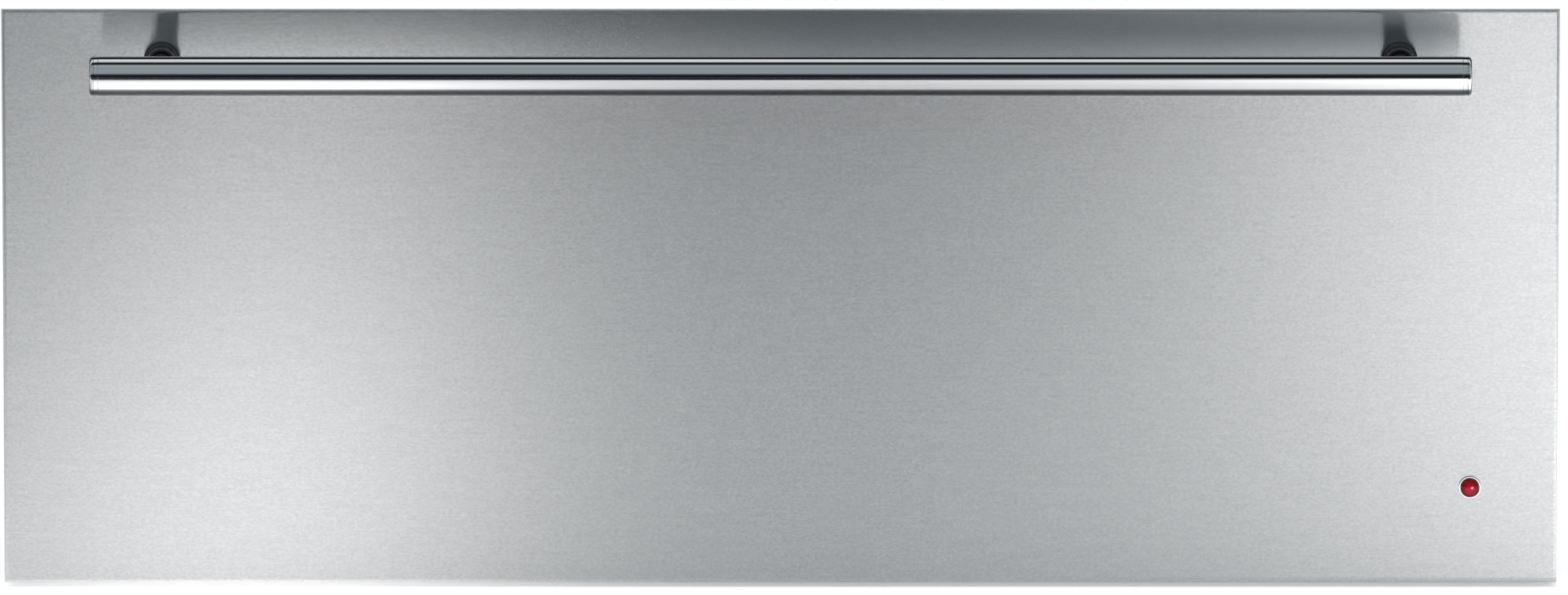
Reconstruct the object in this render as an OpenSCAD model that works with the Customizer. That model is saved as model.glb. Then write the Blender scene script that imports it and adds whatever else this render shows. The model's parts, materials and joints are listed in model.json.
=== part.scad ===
// Warming drawer for a 60 cm kitchen unit: a heated tub on full-extension slides behind a folded
// steel front with a bar handle. X is to the right, the front faces -Y, Z is up.
// The origin is on the floor, under the middle of the whole object.

/* [Front] */
// Width of the drawer front
front_w = 595; // [590:1:600]
// Height of the drawer front
front_h = 223; // [221:1:240]
// Depth of the folded front
front_depth = 20; // [18:0.5:26]
// Thickness of the front sheet
front_t = 1; // [0.8:0.1:1.5]
// Outside radius of the folds round the front
fold_r = 1.6; // [1.6:0.1:3]
// Height of the front's lower edge above the floor
floor_gap = 2; // [1:0.5:4]
// Thickness of the plate that closes the front from behind
liner_t = 1; // [0.8:0.1:1.5]
// Depth of the lip round the closing plate
liner_lip = 8; // [5:0.5:12]
// Gap between the front and the housing, filled by the gasket
seal_gap = 5; // [4.5:0.5:8]

/* [Handle] */
// Outside diameter of the handle tube
tube_d = 15; // [12:0.5:20]
// Wall of the handle tube
tube_wall = 1.5; // [1:0.1:2]
// Distance from each side of the front to the end of the handle
handle_inset = 35; // [20:1:45]
// Distance from the front's face to the middle of the tube
standoff = 38; // [34:1:50]
// Distance from each side of the front to a handle post
post_inset = 61.4; // [57:0.1:90]
// Distance from the top of the front down to the handle posts
post_drop = 19.3; // [18:0.1:30]
// Diameter of a handle post
post_d = 8.6; // [8:0.1:10]
// Diameter of the collar's foot
collar_d = 14; // [12:0.5:20]
// Length of the collar
collar_len = 9; // [6:0.5:12]
// Length of an end cap outside the tube
cap_len = 3.3; // [2:0.1:6]
// Thickness of the stiffener behind the handle
stiffener_t = 3; // [2:0.5:5]
// Height of the stiffener
stiffener_h = 24; // [16:1:28]

/* [Pilot lamp] */
// Distance from the front's right side to the lamp
lamp_inset = 33.5; // [31:0.1:36]
// Distance from the front's lower edge to the lamp
lamp_rise = 37.3; // [30:0.1:45]
// Diameter of the red lens
lens_d = 7.2; // [6.6:0.1:8]
// Width of the ring round the lens
bezel_rim = 0.7; // [0.5:0.1:1.5]
// Diameter of the light guide inside the front
guide_d = 5; // [4:0.1:5.4]

/* [Housing] */
// Width of the housing, which goes into a 560 mm opening
housing_w = 554; // [552:1:558]
// Height of the housing without its feet
housing_h = 213; // [208:1:214]
// Depth of the housing
housing_depth = 530; // [520:1:560]
// Sheet thickness of the housing's outer panels
panel_t = 1; // [0.8:0.1:1.2]
// Width of the folded edges of the outer panels
panel_lip = 12; // [8:1:16]
// Width of the front frame
frame_w = 584; // [580:1:588]
// Sheet thickness of the front frame
frame_t = 1.2; // [1:0.1:2]
// Height of the frame below and above the drawer's opening
frame_land = 11; // [10:0.5:12]
// Distance between the fixing holes, across
fixing_w = 569; // [567:1:571]
// Distance between the fixing holes, upright
fixing_h = 145; // [120:1:160]
// Diameter of the fixing holes
fixing_d = 4.5; // [4:0.1:5.5]
// Sheet thickness of the inner walls that carry the slides
wall_t = 1.2; // [1:0.1:2]
// Diameter of a foot
foot_d = 24; // [18:1:30]
// Height of a foot
foot_h = 6; // [5:0.5:8]

/* [Drawer] */
// Outside width of the tub
tub_w = 410; // [380:1:412]
// Height of the tub
tub_h = 155; // [135:1:160]
// Outside length of the tub
tub_len = 445; // [420:1:446]
// Height of the tub's floor above the housing's floor
tub_rise = 15; // [13:0.5:20]
// Sheet thickness of the tub
tub_t = 1; // [0.8:0.1:1.5]
// Radius of the tub's lower corners
tub_r = 8; // [4:0.5:14]
// Width of the tub's rim
rim_w = 6; // [4:0.5:8]
// Thickness of the ribbed mat
mat_t = 2.4; // [2:0.1:4]
// Distance between the mat's ribs
mat_pitch = 9; // [6:0.5:14]

/* [Slides] */
// Length of a slide
slide_len = 450; // [440:1:452]
// Height of a slide's outer rail
slide_h = 45; // [43:0.5:50]
// Thickness of a slide, from the inner wall to the tub
slide_w = 12.7; // [12.7:0.1:14]
// Height of the slides' middle above the housing's floor
slide_rise = 63; // [50:1:75]
// Thickness of the rails' steel
rail_t = 1.2; // [1:0.1:1.3]
// Diameter of a ball
ball_d = 3; // [2.8:0.1:3.4]
// Length of a ball cage
cage_len = 200; // [150:5:220]
// Distance between balls
ball_pitch = 33; // [20:1:40]

/* [Controls] */
// Distance from the inner wall to the middle of the controls
control_offset = 31.3; // [31:0.1:31.6]
// Width of the control recess
recess_w = 34; // [33:0.5:34.5]
// Height of the control recess
recess_h = 130; // [124:1:134]
// Height of the recess above the housing's floor
recess_rise = 54; // [50:1:58]
// Depth of the recess
recess_depth = 14; // [13:0.5:18]
// Wall of the moulding
moulding_t = 1.5; // [1.2:0.1:2]
// Diameter of the thermostat knob
knob_d = 27; // [22:0.5:29]
// Depth of the thermostat knob
knob_depth = 12.5; // [10:0.5:13]
// Height of the knob above the recess's lower edge
knob_rise = 36; // [34:1:46]
// Height of the switch above the recess's lower edge
switch_rise = 96; // [88:1:104]
// Diameter of the thermostat's shaft
dial_shaft_d = 6; // [5:0.5:7]

/* [Hot air unit] */
// Distance from the slides' rear ends to the perforated baffle
baffle_gap = 3; // [2:0.5:4]
// Depth of the air chamber behind the baffle
chamber_depth = 34; // [33:1:38]
// Diameter of the impeller
impeller_d = 120; // [90:1:126]
// Depth of the impeller's blades
blade_depth = 16; // [10:1:18]
// Number of impeller blades
blades = 24; // [12:1:30]
// Diameter of the motor shaft
motor_shaft_d = 6; // [5:0.5:8]
// Diameter of the motor
motor_d = 56; // [46:1:60]
// Length of the motor
motor_len = 28; // [20:1:29]
// Diameter of the heating ring at its tube's middle
ring_d = 150; // [144:1:160]
// Diameter of the heating tube
heater_d = 6.5; // [6:0.1:8]

/* [Supply] */
// Width of the terminal box
box_w = 70; // [60:1:80]
// Height of the terminal box
box_h = 48; // [44:1:60]
// Depth of the terminal box with its cover
box_depth = 24; // [23:1:30]
// Wall of the terminal box
box_t = 2; // [1.5:0.1:2]
// Distance from the housing's middle to the terminal box
box_offset = 150; // [120:1:170]
// Height of the terminal box above the housing's floor
box_rise = 18; // [14:1:40]
// Bore of the cable gland
cable_bore_d = 8.5; // [6:0.1:10]
// Length of the cable gland's bore
gland_len = 26; // [25:0.5:32]
// Diameter of the main wiring bundle
loom_d = 7; // [5:0.5:8]

/* [Hidden] */
$fn = 48;
fit = 0.2;        // gap round pieces that slot into each other
air = 0.3;        // gap between faces of pieces that move past each other
pivot = 0.05;     // radial gap of a shaft in its bore
screw_r = 2;      // radius of a sheet screw's shank
head_r = 3.8;     // radius of a sheet screw's head
head_h = 1.8;     // height of a sheet screw's head
bolt_r = 2.5;     // radius of a handle bolt

// depths, from the front of the handle to the back of the terminal box
depth = standoff + tube_d / 2 + front_depth + seal_gap + housing_depth + box_depth;
y_face = -depth / 2 + standoff + tube_d / 2;
y_back = y_face + front_depth;
y_frame = y_back + seal_gap;
y_inside = y_frame + frame_t;
y_rear = y_frame + housing_depth;
y_tube = y_face - standoff;
y_tub_end = y_back + tub_len;
y_slide = y_inside + 1;
y_baffle = y_slide + slide_len + baffle_gap;
y_motor_plate = y_baffle + chamber_depth;

// heights
z_low = floor_gap;
z_high = floor_gap + front_h;
z_floor = foot_h + panel_t;
z_roof = foot_h + housing_h - panel_t;
z_post = z_high - post_drop;
z_lamp = z_low + lamp_rise;
z_tub = z_floor + tub_rise;
z_rim = z_tub + tub_h;
z_slide = z_floor + slide_rise;
z_open_low = foot_h + frame_land;
z_open_high = foot_h + housing_h - frame_land - panel_t;
z_fan = (z_floor + z_roof) / 2;
z_recess = z_floor + recess_rise;
z_knob = z_recess + knob_rise;
z_switch = z_recess + switch_rise;
z_box = z_floor + box_rise;
z_gland = z_box + box_h / 2;

// places across
x_post = front_w / 2 - post_inset;
x_lamp = front_w / 2 - lamp_inset;
x_wall = tub_w / 2 + slide_w;
x_side = housing_w / 2 - panel_t;
x_control = x_wall + control_offset;
x_handle = front_w / 2 - handle_inset;
x_chamber = x_wall - air;
x_loom = x_wall + wall_t + loom_d / 2 + 3;
bezel_r = lens_d / 2 + bezel_rim;

// the seal round the opening
seal_w = 7;
seal_thick = seal_gap - air;
seal_x = x_wall + 4;
seal_low = z_open_low - 1.5;
seal_high = z_open_high + 1.5;
bumper_r = 5;
bumper_x = fixing_w / 2;
fixing_mid = foot_h + housing_h / 2;
fixings = [for (x = [-1, 1], z = [-1, 1]) [x * fixing_w / 2, fixing_mid + z * fixing_h / 2]];
bumpers = [for (x = [-1, 1], z = [-1, 1]) [x * bumper_x, fixing_mid + z * (fixing_h / 2 + 22)]];

// rails: u runs from the inner wall to the tub, v up from the slide's middle
race = ball_d + 0.2;
outer_v = slide_h / 2;
middle_v = outer_v - rail_t - race;
inner_v = middle_v - rail_t - race;
outer_depth = slide_w - 2.2;
cage_t = 0.6;
middle_u = rail_t + cage_t + 2 * air;
inner_cage_u = middle_u + rail_t + 0.4;
inner_u = inner_cage_u + cage_t + 0.4;
outer_ball_u = 6.6;
inner_ball_u = 8;
cage_start = (slide_len - cage_len) / 2;
rail_screws = [22, slide_len - 30];
rail_screw_head = 2;

// hot air unit
lip = 10;
y_impeller = y_baffle + 9;
y_disc = y_impeller + blade_depth;
y_ring = y_impeller + blade_depth / 2;
ring_r = ring_d / 2;
ring_gap = 22;    // half of the angle that the ring leaves open at its foot
clip_angles = [90, 195, 345];
motor_feet = 3;

// terminal box
y_box_floor = y_rear + box_t;
y_cover = y_rear + box_depth - 1.5;
y_gland = (y_box_floor + y_cover) / 2;
gland_inside = 8;
thread_r = cable_bore_d / 2 + 3;
x_wires = box_offset + box_w - 14;

steel = [0.74, 0.75, 0.76];
polished = [0.82, 0.83, 0.84];
zinc = [0.66, 0.68, 0.70];
galvanised = [0.60, 0.62, 0.64];
black = [0.07, 0.07, 0.08];

// ---- building blocks ----

// a box given by its lowest and highest x, y and z
module block(x, y, z) {
  translate([x[0], y[0], z[0]]) cube([x[1] - x[0], y[1] - y[0], z[1] - z[0]]);
}

// a flat shape drawn in x and z, made solid from one y to another
module slab_y(from, to) {
  translate([0, to, 0]) rotate([90, 0, 0]) linear_extrude(height = to - from) children();
}

// a flat shape drawn in y and z, made solid from one x to another
module slab_x(from, to) {
  translate([from, 0, 0]) rotate([90, 0, 90]) linear_extrude(height = to - from) children();
}

// a flat shape drawn in x and y, made solid from one z to another
module slab_z(from, to) {
  translate([0, 0, from]) linear_extrude(height = to - from) children();
}

// a rectangle given by its lowest and highest corner
module patch(x, z) {
  translate([x[0], z[0]]) square([x[1] - x[0], z[1] - z[0]]);
}

// a round bar along y, x or z
module bar_y(r, from, to, fn = $fn) {
  translate([0, from, 0]) rotate([-90, 0, 0]) cylinder(r = r, h = to - from, $fn = fn);
}

module bar_x(r, from, to, fn = $fn) {
  translate([from, 0, 0]) rotate([0, 90, 0]) cylinder(r = r, h = to - from, $fn = fn);
}

// a turned shape whose profile is drawn as radius and distance along +y
module turned_y() {
  rotate([-90, 0, 0]) rotate_extrude($fn = 96) children();
}

// a turned shape whose profile is drawn as radius and distance along +x
module turned_x() {
  rotate([0, 90, 0]) rotate_extrude($fn = 96) children();
}

// the same thing on the right and on the left
module both_sides() {
  children();
  mirror([1, 0, 0]) children();
}

module on_left() {
  mirror([1, 0, 0]) children();
}

// a slot with round ends, upright
module upright_slot(w, h) {
  square([w, h - w], center = true);
  for (s = [-1, 1]) translate([0, s * (h - w) / 2]) circle(d = w);
}

// ---- drawer front ----

// outline of a folded front seen from one end, its face at 0
module folded_end(across) {
  translate([fold_r, 0]) square([front_depth - fold_r, across]);
  translate([0, fold_r]) square([fold_r * 2, across - 2 * fold_r]);
  for (c = [fold_r, across - fold_r]) translate([fold_r, c]) circle(r = fold_r);
}

module front_panel() {
  inner_x = front_w / 2 - front_t;
  color(steel) difference() {
    intersection() {
      slab_x(-front_w / 2, front_w / 2) translate([y_face, z_low]) folded_end(front_h);
      slab_z(z_low, z_high) translate([-front_w / 2, y_face]) mirror([1, -1]) folded_end(front_w);
    }
    block([-inner_x, inner_x], [y_face + front_t, y_back + 1], [z_low + front_t, z_high - front_t]);
    for (s = [-1, 1]) translate([s * x_post, 0, z_post]) {
      bar_y(bolt_r + fit, y_face - 1, y_face + front_t + 1);
    }
    translate([x_lamp, 0, z_lamp]) bar_y(lens_d / 2 + fit, y_face - 1, y_face + front_t + 1);
  }
}

module front_liner() {
  x = front_w / 2 - front_t - fit;
  z = [z_low + front_t + fit, z_high - front_t - fit];
  color(zinc) difference() {
    block([-x, x], [y_back - liner_t - liner_lip, y_back], z);
    block([liner_t - x, x - liner_t], [y_back - liner_t - liner_lip - 1, y_back - liner_t],
          [z[0] + liner_t, z[1] - liner_t]);
    translate([x_lamp, 0, z_lamp]) bar_y(guide_d / 2 + fit, y_back - liner_t - 1, y_back + 1);
    for (s = [-1, 1], z = bracket_holes) translate([s * bracket_x, 0, z]) {
      bar_y(screw_r + fit, y_back - liner_t - 1, y_back + 1);
    }
  }
}

module handle_stiffener() {
  x = x_post + 20;
  y = y_face + front_t;
  color(zinc) difference() {
    block([-x, x], [y, y + stiffener_t], [z_post - stiffener_h / 2, z_post + min(stiffener_h / 2, post_drop - 5)]);
    for (s = [-1, 1]) translate([s * x_post, 0, z_post]) {
      bar_y(bolt_r + fit, y - 1, y + stiffener_t + 1);
    }
  }
}

module insulation_pad() {
  x = front_w / 2 - front_t - liner_t - 3;
  color([0.86, 0.80, 0.60]) difference() {
    block([-x, x], [y_face + front_t + air, y_back - liner_t - air],
          [z_low + front_t + liner_t + 3, z_post - stiffener_h / 2 - 3]);
    translate([x_lamp, 0, z_lamp]) bar_y(bezel_r + 1, y_face, y_back);
    for (s = [-1, 1], z = bracket_holes) translate([s * bracket_x, 0, z]) {
      bar_y(screw_r + 1, y_back - 8, y_back);
    }
  }
}

// ---- handle ----

module handle_tube() {
  x = x_handle - cap_len;
  color(polished) translate([0, y_tube, z_post]) difference() {
    bar_x(tube_d / 2, -x, x, 96);
    bar_x(tube_d / 2 - tube_wall, -x - 1, x + 1, 96);
    for (s = [-1, 1]) translate([s * x_post, 0, 0]) bar_y(post_d / 2 + 0.1, 0, tube_d);
  }
}

module handle_end_cap() {
  r = tube_d / 2 - 0.25;
  groove = 0.5;
  plug_r = tube_d / 2 - tube_wall - 0.1;
  color(polished) translate([x_handle - cap_len, y_tube, z_post]) turned_x() {
    translate([0, -8]) square([plug_r, 8 + cap_len - 1]);
    square([r - 0.5, groove]);
    translate([0, groove]) square([r, cap_len - 1 - groove]);
    translate([0, groove]) square([r - 1, cap_len - groove]);
    translate([r - 1, cap_len - 1]) intersection() {
      circle(r = 1);
      square(1);
    }
  }
}

module handle_end_caps() {
  both_sides() handle_end_cap();
}

// a post runs from the face of the front into the tube
module right_handle_post() {
  reach = y_tube + tube_d / 2 - tube_wall - 1;
  color(polished) translate([x_post, 0, z_post]) difference() {
    bar_y(post_d / 2, reach, y_face);
    bar_y(bolt_r + pivot, y_face - 14, y_face + 1);
  }
}

module left_handle_post() {
  on_left() right_handle_post();
}

module handle_collars() {
  foot_t = 2;
  neck_r = post_d / 2 + 1.1;
  bore_r = post_d / 2 + 0.1;
  flare = collar_d / 2 - neck_r;
  color(black) both_sides() translate([x_post, y_face, z_post]) mirror([0, 1, 0]) turned_y() {
    difference() {
      union() {
        translate([bore_r, 0]) square([collar_d / 2 - bore_r, foot_t]);
        translate([bore_r, 0]) square([neck_r - bore_r, collar_len]);
        translate([bore_r, foot_t]) square([collar_d / 2 - bore_r, flare]);
      }
      translate([collar_d / 2, foot_t + flare]) circle(r = flare);
    }
  }
}

module handle_screws() {
  y = y_face + front_t + stiffener_t;
  color(zinc) both_sides() translate([x_post, 0, z_post]) difference() {
    union() {
      bar_y(bolt_r, y_face - 12, y + 1);
      bar_y(4.4, y, y + 3.2);
    }
    bar_y(1.8, y + 1.2, y + 4, 6);
  }
}

// ---- pilot lamp ----

module lamp_lens() {
  rise = 1.7;
  r = lens_d / 2 - 0.1;
  ball = (r * r + rise * rise) / (2 * rise);
  color([0.75, 0.03, 0.08]) translate([x_lamp, y_face, z_lamp]) mirror([0, 1, 0]) turned_y() {
    square([r, 0.6]);
    intersection() {
      translate([0, 0.6 + rise - ball]) circle(r = ball, $fn = 96);
      translate([0, 0.3]) square([r, 3]);
    }
    translate([0, -4.8]) square([r - 0.5, 5]);
  }
}

module lamp_bezel() {
  r = lens_d / 2;
  color(polished) translate([x_lamp, y_face, z_lamp]) mirror([0, 1, 0]) turned_y() {
    translate([r + 0.05, 0]) square([bezel_rim - 0.05, 0.6]);
    translate([r - 0.35, -6]) square([0.4, 6]);
  }
}

module light_guide() {
  color([0.85, 0.9, 0.92]) translate([x_lamp, 0, z_lamp]) bar_y(guide_d / 2, y_face + 5, y_back);
}

// ---- seal ----

module door_gasket() {
  color([0.12, 0.12, 0.13]) slab_y(y_back, y_back + seal_thick) difference() {
    patch([-seal_x - seal_w, seal_x + seal_w], [seal_low - seal_w, seal_high + seal_w]);
    patch([-seal_x, seal_x], [seal_low, seal_high]);
  }
}

module stop_bumpers() {
  nose = 1.5;
  color([0.12, 0.12, 0.13]) for (p = bumpers) translate([p[0], y_back, p[1]]) turned_y() {
    square([bumper_r, seal_thick - nose]);
    square([bumper_r - nose, seal_thick]);
    translate([bumper_r - nose, seal_thick - nose]) intersection() {
      circle(r = nose);
      square(nose);
    }
  }
}

// ---- drawer ----

// the tub's section, drawn in x and z, with round lower corners
module tub_section(half, low, high, r) {
  translate([-half, low + r]) square([2 * half, high - low - r]);
  translate([-half + r, low]) square([2 * (half - r), high - low]);
  for (s = [-1, 1]) translate([s * (half - r), low + r]) circle(r = r);
}

slot_rows = 2;
slot_columns = 15;
slot_w = 6;

module drawer_tub() {
  half = tub_w / 2;
  slot_h = (tub_h - 55) / slot_rows;
  slot_pitch = (tub_w - 50) / slot_columns;
  color(steel) difference() {
    union() {
      slab_y(y_back, y_tub_end) tub_section(half, z_tub, z_rim, tub_r);
      block([-half - rim_w, half + rim_w], [y_back, y_tub_end + rim_w], [z_rim - tub_t, z_rim]);
    }
    slab_y(y_back + tub_t, y_tub_end - tub_t)
      tub_section(half - tub_t, z_tub + tub_t, z_rim + 1, tub_r - tub_t);
    slab_y(y_tub_end - tub_t - 1, y_tub_end + 1)
      for (i = [0:slot_columns - 1], j = [0:slot_rows - 1])
        translate([(i - (slot_columns - 1) / 2) * slot_pitch, z_tub + 25 + (j + 0.5) * (slot_h + 5)])
          upright_slot(slot_w, slot_h - 5);
    for (y = rail_screws) translate([0, y_slide + y, z_slide]) {
      bar_x(screw_r + pivot, half - tub_t - 1, half + 1);
      bar_x(screw_r + pivot, -half - 1, tub_t + 1 - half);
    }
    for (y = [15, bracket_len - 10]) translate([0, y_back + y, bracket_z + bracket_h / 2]) {
      bar_x(screw_r + pivot, half - tub_t - 1, half + 1);
      bar_x(screw_r + pivot, -half - 1, tub_t + 1 - half);
    }
  }
}

module anti_slip_mat() {
  half = tub_w / 2 - tub_r - 1;
  sheet = mat_t / 2;
  ribs = floor((half - 3) / mat_pitch);
  color([0.20, 0.20, 0.21]) slab_y(y_back + tub_t + 2, y_tub_end - tub_t - 2) {
    patch([-half, half], [z_tub + tub_t, z_tub + tub_t + sheet]);
    for (i = [-ribs:ribs]) translate([i * mat_pitch - 1.5, z_tub + tub_t]) square([3, mat_t]);
  }
}

bracket_t = 1.5;
bracket_h = 46;
bracket_len = 50;
bracket_z = z_slide + slide_h / 2 + 6;
bracket_x = x_wall - 5.5;
bracket_holes = [bracket_z + 10, bracket_z + bracket_h - 10];

// angle brackets that join the tub's sides to the front
module tub_brackets() {
  x = tub_w / 2;
  z = [bracket_z, bracket_z + bracket_h];
  color(zinc) both_sides() difference() {
    union() {
      block([x, x + bracket_t], [y_back, y_back + bracket_len], z);
      block([x, x_wall - 1], [y_back, y_back + bracket_t], z);
    }
    for (h = bracket_holes) translate([bracket_x, 0, h]) {
      bar_y(screw_r + pivot, y_back - 1, y_back + bracket_t + 1);
    }
    for (y = [15, bracket_len - 10]) translate([0, y_back + y, bracket_z + bracket_h / 2]) {
      bar_x(screw_r + pivot, x - 1, x + bracket_t + 1);
    }
  }
}

// a pan-head sheet screw along +y, its head's underside at 0
module sheet_screw(grip, head = head_h) {
  difference() {
    union() {
      bar_y(screw_r, 0, grip);
      turned_y() {
        translate([0, 0.6 - head]) square([head_r, head - 0.6]);
        translate([0, -head]) square([head_r - 0.6, head]);
      }
    }
    for (a = [0, 90]) rotate([0, a, 0]) block([-0.5, 0.5], [-head - 1, 0.7 - head], [-2.2, 2.2]);
  }
}

module drawer_screws() {
  half = tub_w / 2;
  color(zinc) both_sides() {
    for (y = rail_screws) translate([half + rail_t, y_slide + y, z_slide]) {
      rotate([0, 0, 90]) sheet_screw(rail_t + tub_t, rail_screw_head);
    }
    for (y = [15, bracket_len - 10]) {
      translate([half + bracket_t, y_back + y, bracket_z + bracket_h / 2]) {
        rotate([0, 0, 90]) sheet_screw(bracket_t + tub_t);
      }
    }
    for (h = bracket_holes) translate([bracket_x, y_back + bracket_t, h]) {
      rotate([0, 0, 180]) sheet_screw(bracket_t + liner_t + 4);
    }
  }
}

// ---- slides ----

// what is drawn at u and v, made solid along the right-hand slide
module along_slide(from, to) {
  slab_y(from, to) translate([x_wall, z_slide]) mirror([1, 0]) children();
}

// a channel with its web at near and its edges at far
module channel(near, far, v) {
  low = min(near, far);
  high = max(near, far);
  web = near < far ? near : near - rail_t;
  patch([web, web + rail_t], [-v, v]);
  for (s = [0, 1]) mirror([0, s]) patch([low, high], [v - rail_t, v]);
}

module right_outer_rail() {
  color(zinc) difference() {
    along_slide(y_slide, y_slide + slide_len) {
      channel(0, outer_depth, outer_v);
      for (s = [0, 1]) mirror([0, s]) {
        patch([outer_depth - rail_t, outer_depth], [outer_v - rail_t - 0.8, outer_v]);
      }
    }
    for (y = rail_screws) translate([0, y_slide + y, z_slide]) {
      bar_x(screw_r + pivot, x_wall - rail_t - 1, x_wall + 1);
    }
  }
}

module right_middle_rail() {
  color(zinc) along_slide(y_slide, y_slide + slide_len) channel(middle_u, outer_depth, middle_v);
}

module right_inner_rail() {
  color(zinc) difference() {
    along_slide(y_slide, y_slide + slide_len) channel(slide_w, inner_u, inner_v);
    for (y = rail_screws) translate([0, y_slide + y, z_slide]) {
      bar_x(screw_r + pivot, tub_w / 2 - 1, tub_w / 2 + rail_t + 1);
    }
  }
}

// a strip folded round the rail inside it, with a row of balls above and below
module ball_cage(near, ball_u, v) {
  start = y_slide + cage_start;
  balls = floor((cage_len - 10) / ball_pitch);
  first = start + (cage_len - balls * ball_pitch) / 2;
  strip = 0.8;
  for (s = [0, 1]) {
    for (i = [0:balls]) {
      translate([x_wall - ball_u, first + i * ball_pitch, z_slide + (1 - 2 * s) * v]) {
        sphere(d = ball_d, $fn = 32);
      }
    }
  }
  difference() {
    along_slide(start, start + cage_len) {
      patch([near, near + cage_t], [-v, v]);
      for (s = [0, 1]) mirror([0, s]) patch([near, ball_u + 2.6], [v - strip / 2, v + strip / 2]);
    }
    for (s = [-1, 1], i = [0:balls]) {
      translate([x_wall - ball_u, first + i * ball_pitch, z_slide + s * v - 1]) {
        cylinder(r = ball_d / 2 + 0.15, h = 2);
      }
    }
  }
}

module right_outer_cage() {
  color([0.75, 0.72, 0.45]) ball_cage(rail_t + air, outer_ball_u, (outer_v - rail_t + middle_v) / 2);
}

module right_inner_cage() {
  color([0.75, 0.72, 0.45]) ball_cage(inner_cage_u, inner_ball_u, (middle_v - rail_t + inner_v) / 2);
}

module left_outer_rail() {
  on_left() right_outer_rail();
}

module left_middle_rail() {
  on_left() right_middle_rail();
}

module left_inner_rail() {
  on_left() right_inner_rail();
}

module left_outer_cage() {
  on_left() right_outer_cage();
}

module left_inner_cage() {
  on_left() right_inner_cage();
}

// ---- housing ----

foot_x = x_side - 35;
foot_ys = [y_frame + 40, y_rear - 40];
side_lip = 6;
cover_lip = 12;
cover_screw_ys = [y_inside + 40, (y_inside + y_rear) / 2, y_rear - 40];
rear_screws = [for (x = [-1, 1], z = [0.2, 0.5, 0.8])
  [x * (x_side - panel_t - 6), z_floor + z * (z_roof - z_floor)]];

module base_pan() {
  x = x_side - panel_t;
  fold = panel_lip;
  front_fold = z_open_low - z_floor - 3;
  color(galvanised) difference() {
    union() {
      block([-x, x], [y_inside, y_rear - panel_t], [foot_h, z_floor]);
      both_sides() block([x - panel_t, x], [y_inside, y_rear - panel_t], [foot_h, z_floor + fold]);
      block([1 - x_wall, x_wall - 1], [y_inside, y_inside + panel_t], [foot_h, z_floor + front_fold]);
      block([-x + panel_lip, x - panel_lip], [y_rear - 2 * panel_t, y_rear - panel_t],
            [foot_h, z_floor + fold]);
    }
    for (s = [-1, 1], y = foot_ys) translate([s * foot_x, y, 0]) {
      cylinder(r = 4 + fit, h = 3 * foot_h);
    }
  }
}

module right_side_panel() {
  x = x_side - panel_t;
  top = z_roof;
  slots = 7;
  color(galvanised) difference() {
    union() {
      block([x, x_side], [y_inside, y_rear - panel_t], [foot_h, top]);
      block([x - panel_lip, x], [y_inside, y_rear - panel_t], [top - panel_t, top]);
      block([x - side_lip, x], [y_inside, y_inside + panel_t], [z_floor + panel_lip + 1, top - panel_t]);
      block([x - panel_lip, x], [y_rear - 2 * panel_t, y_rear - panel_t],
            [z_floor + panel_lip + 1, top - panel_t]);
    }
    for (i = [0:slots - 1]) translate([0, y_rear - 60 - i * 14, z_fan]) {
      slab_x(x - 1, x_side + 1) upright_slot(5, 60);
    }
    for (y = cover_screw_ys) translate([0, y, z_roof - cover_lip / 2]) {
      bar_x(screw_r + pivot, x - 1, x_side + 1);
    }
    for (p = rear_screws) translate([p[0], 0, p[1]]) {
      bar_y(screw_r + pivot, y_rear - 3 * panel_t, y_rear);
    }
  }
}

module left_side_panel() {
  on_left() right_side_panel();
}

module top_cover() {
  x = housing_w / 2;
  color(galvanised) difference() {
    union() {
      block([-x, x], [y_inside, y_rear], [z_roof, z_roof + panel_t]);
      both_sides() block([x_side, x], [y_inside, y_rear - panel_t], [z_roof - cover_lip, z_roof + panel_t]);
    }
    both_sides() for (y = cover_screw_ys) translate([0, y, z_roof - cover_lip / 2]) {
      bar_x(screw_r + pivot, x_side - 1, x + 1);
    }
  }
}

module rear_panel() {
  vents = 12;
  color(galvanised) slab_y(y_rear - panel_t, y_rear) difference() {
    patch([-x_side, x_side], [foot_h, z_roof]);
    for (p = rear_screws) translate(p) circle(r = screw_r + pivot);
    for (i = [0:vents - 1], j = [-1, 1]) {
      translate([-70 - i * 13, z_fan + j * 38]) upright_slot(5, 54);
    }
    translate([x_wires, z_gland]) circle(r = loom_d / 2 + 2);
  }
}

module front_frame() {
  x = frame_w / 2;
  recess = recess_w / 2 + fit;
  fold = 12;
  color([0.09, 0.09, 0.10]) {
    slab_y(y_frame, y_inside) difference() {
      patch([-x, x], [foot_h, z_roof + panel_t]);
      patch([-x_wall, x_wall], [z_open_low, z_open_high]);
      patch([x_control - recess, x_control + recess], [z_recess - fit, z_recess + recess_h + fit]);
      for (p = fixings) translate(p) circle(d = fixing_d);
      translate([x_lamp, z_lamp]) circle(r = 3.1);
    }
    for (z = [z_open_low - frame_t, z_open_high]) {
      block([-x_wall + 1, x_wall - 1], [y_frame, y_inside + fold], [z, z + frame_t]);
    }
  }
}

// the inner walls carry the slides and close the warm space off from the wiring
module right_inner_wall() {
  x = x_wall + wall_t;
  end = y_motor_plate + wall_t + lip;
  color(steel) difference() {
    union() {
      block([x_wall, x], [y_inside, end], [z_floor, z_roof]);
      block([x_wall, x + panel_lip], [y_inside + 20, end], [z_floor, z_floor + wall_t]);
      block([x_wall, x + panel_lip], [y_inside + 20, end], [z_roof - wall_t, z_roof]);
    }
    for (y = rail_screws) translate([0, y_slide + y, z_slide]) {
      bar_x(screw_r + pivot, x_wall - 1, x + 1);
    }
  }
}

module left_inner_wall() {
  on_left() right_inner_wall();
}

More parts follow.
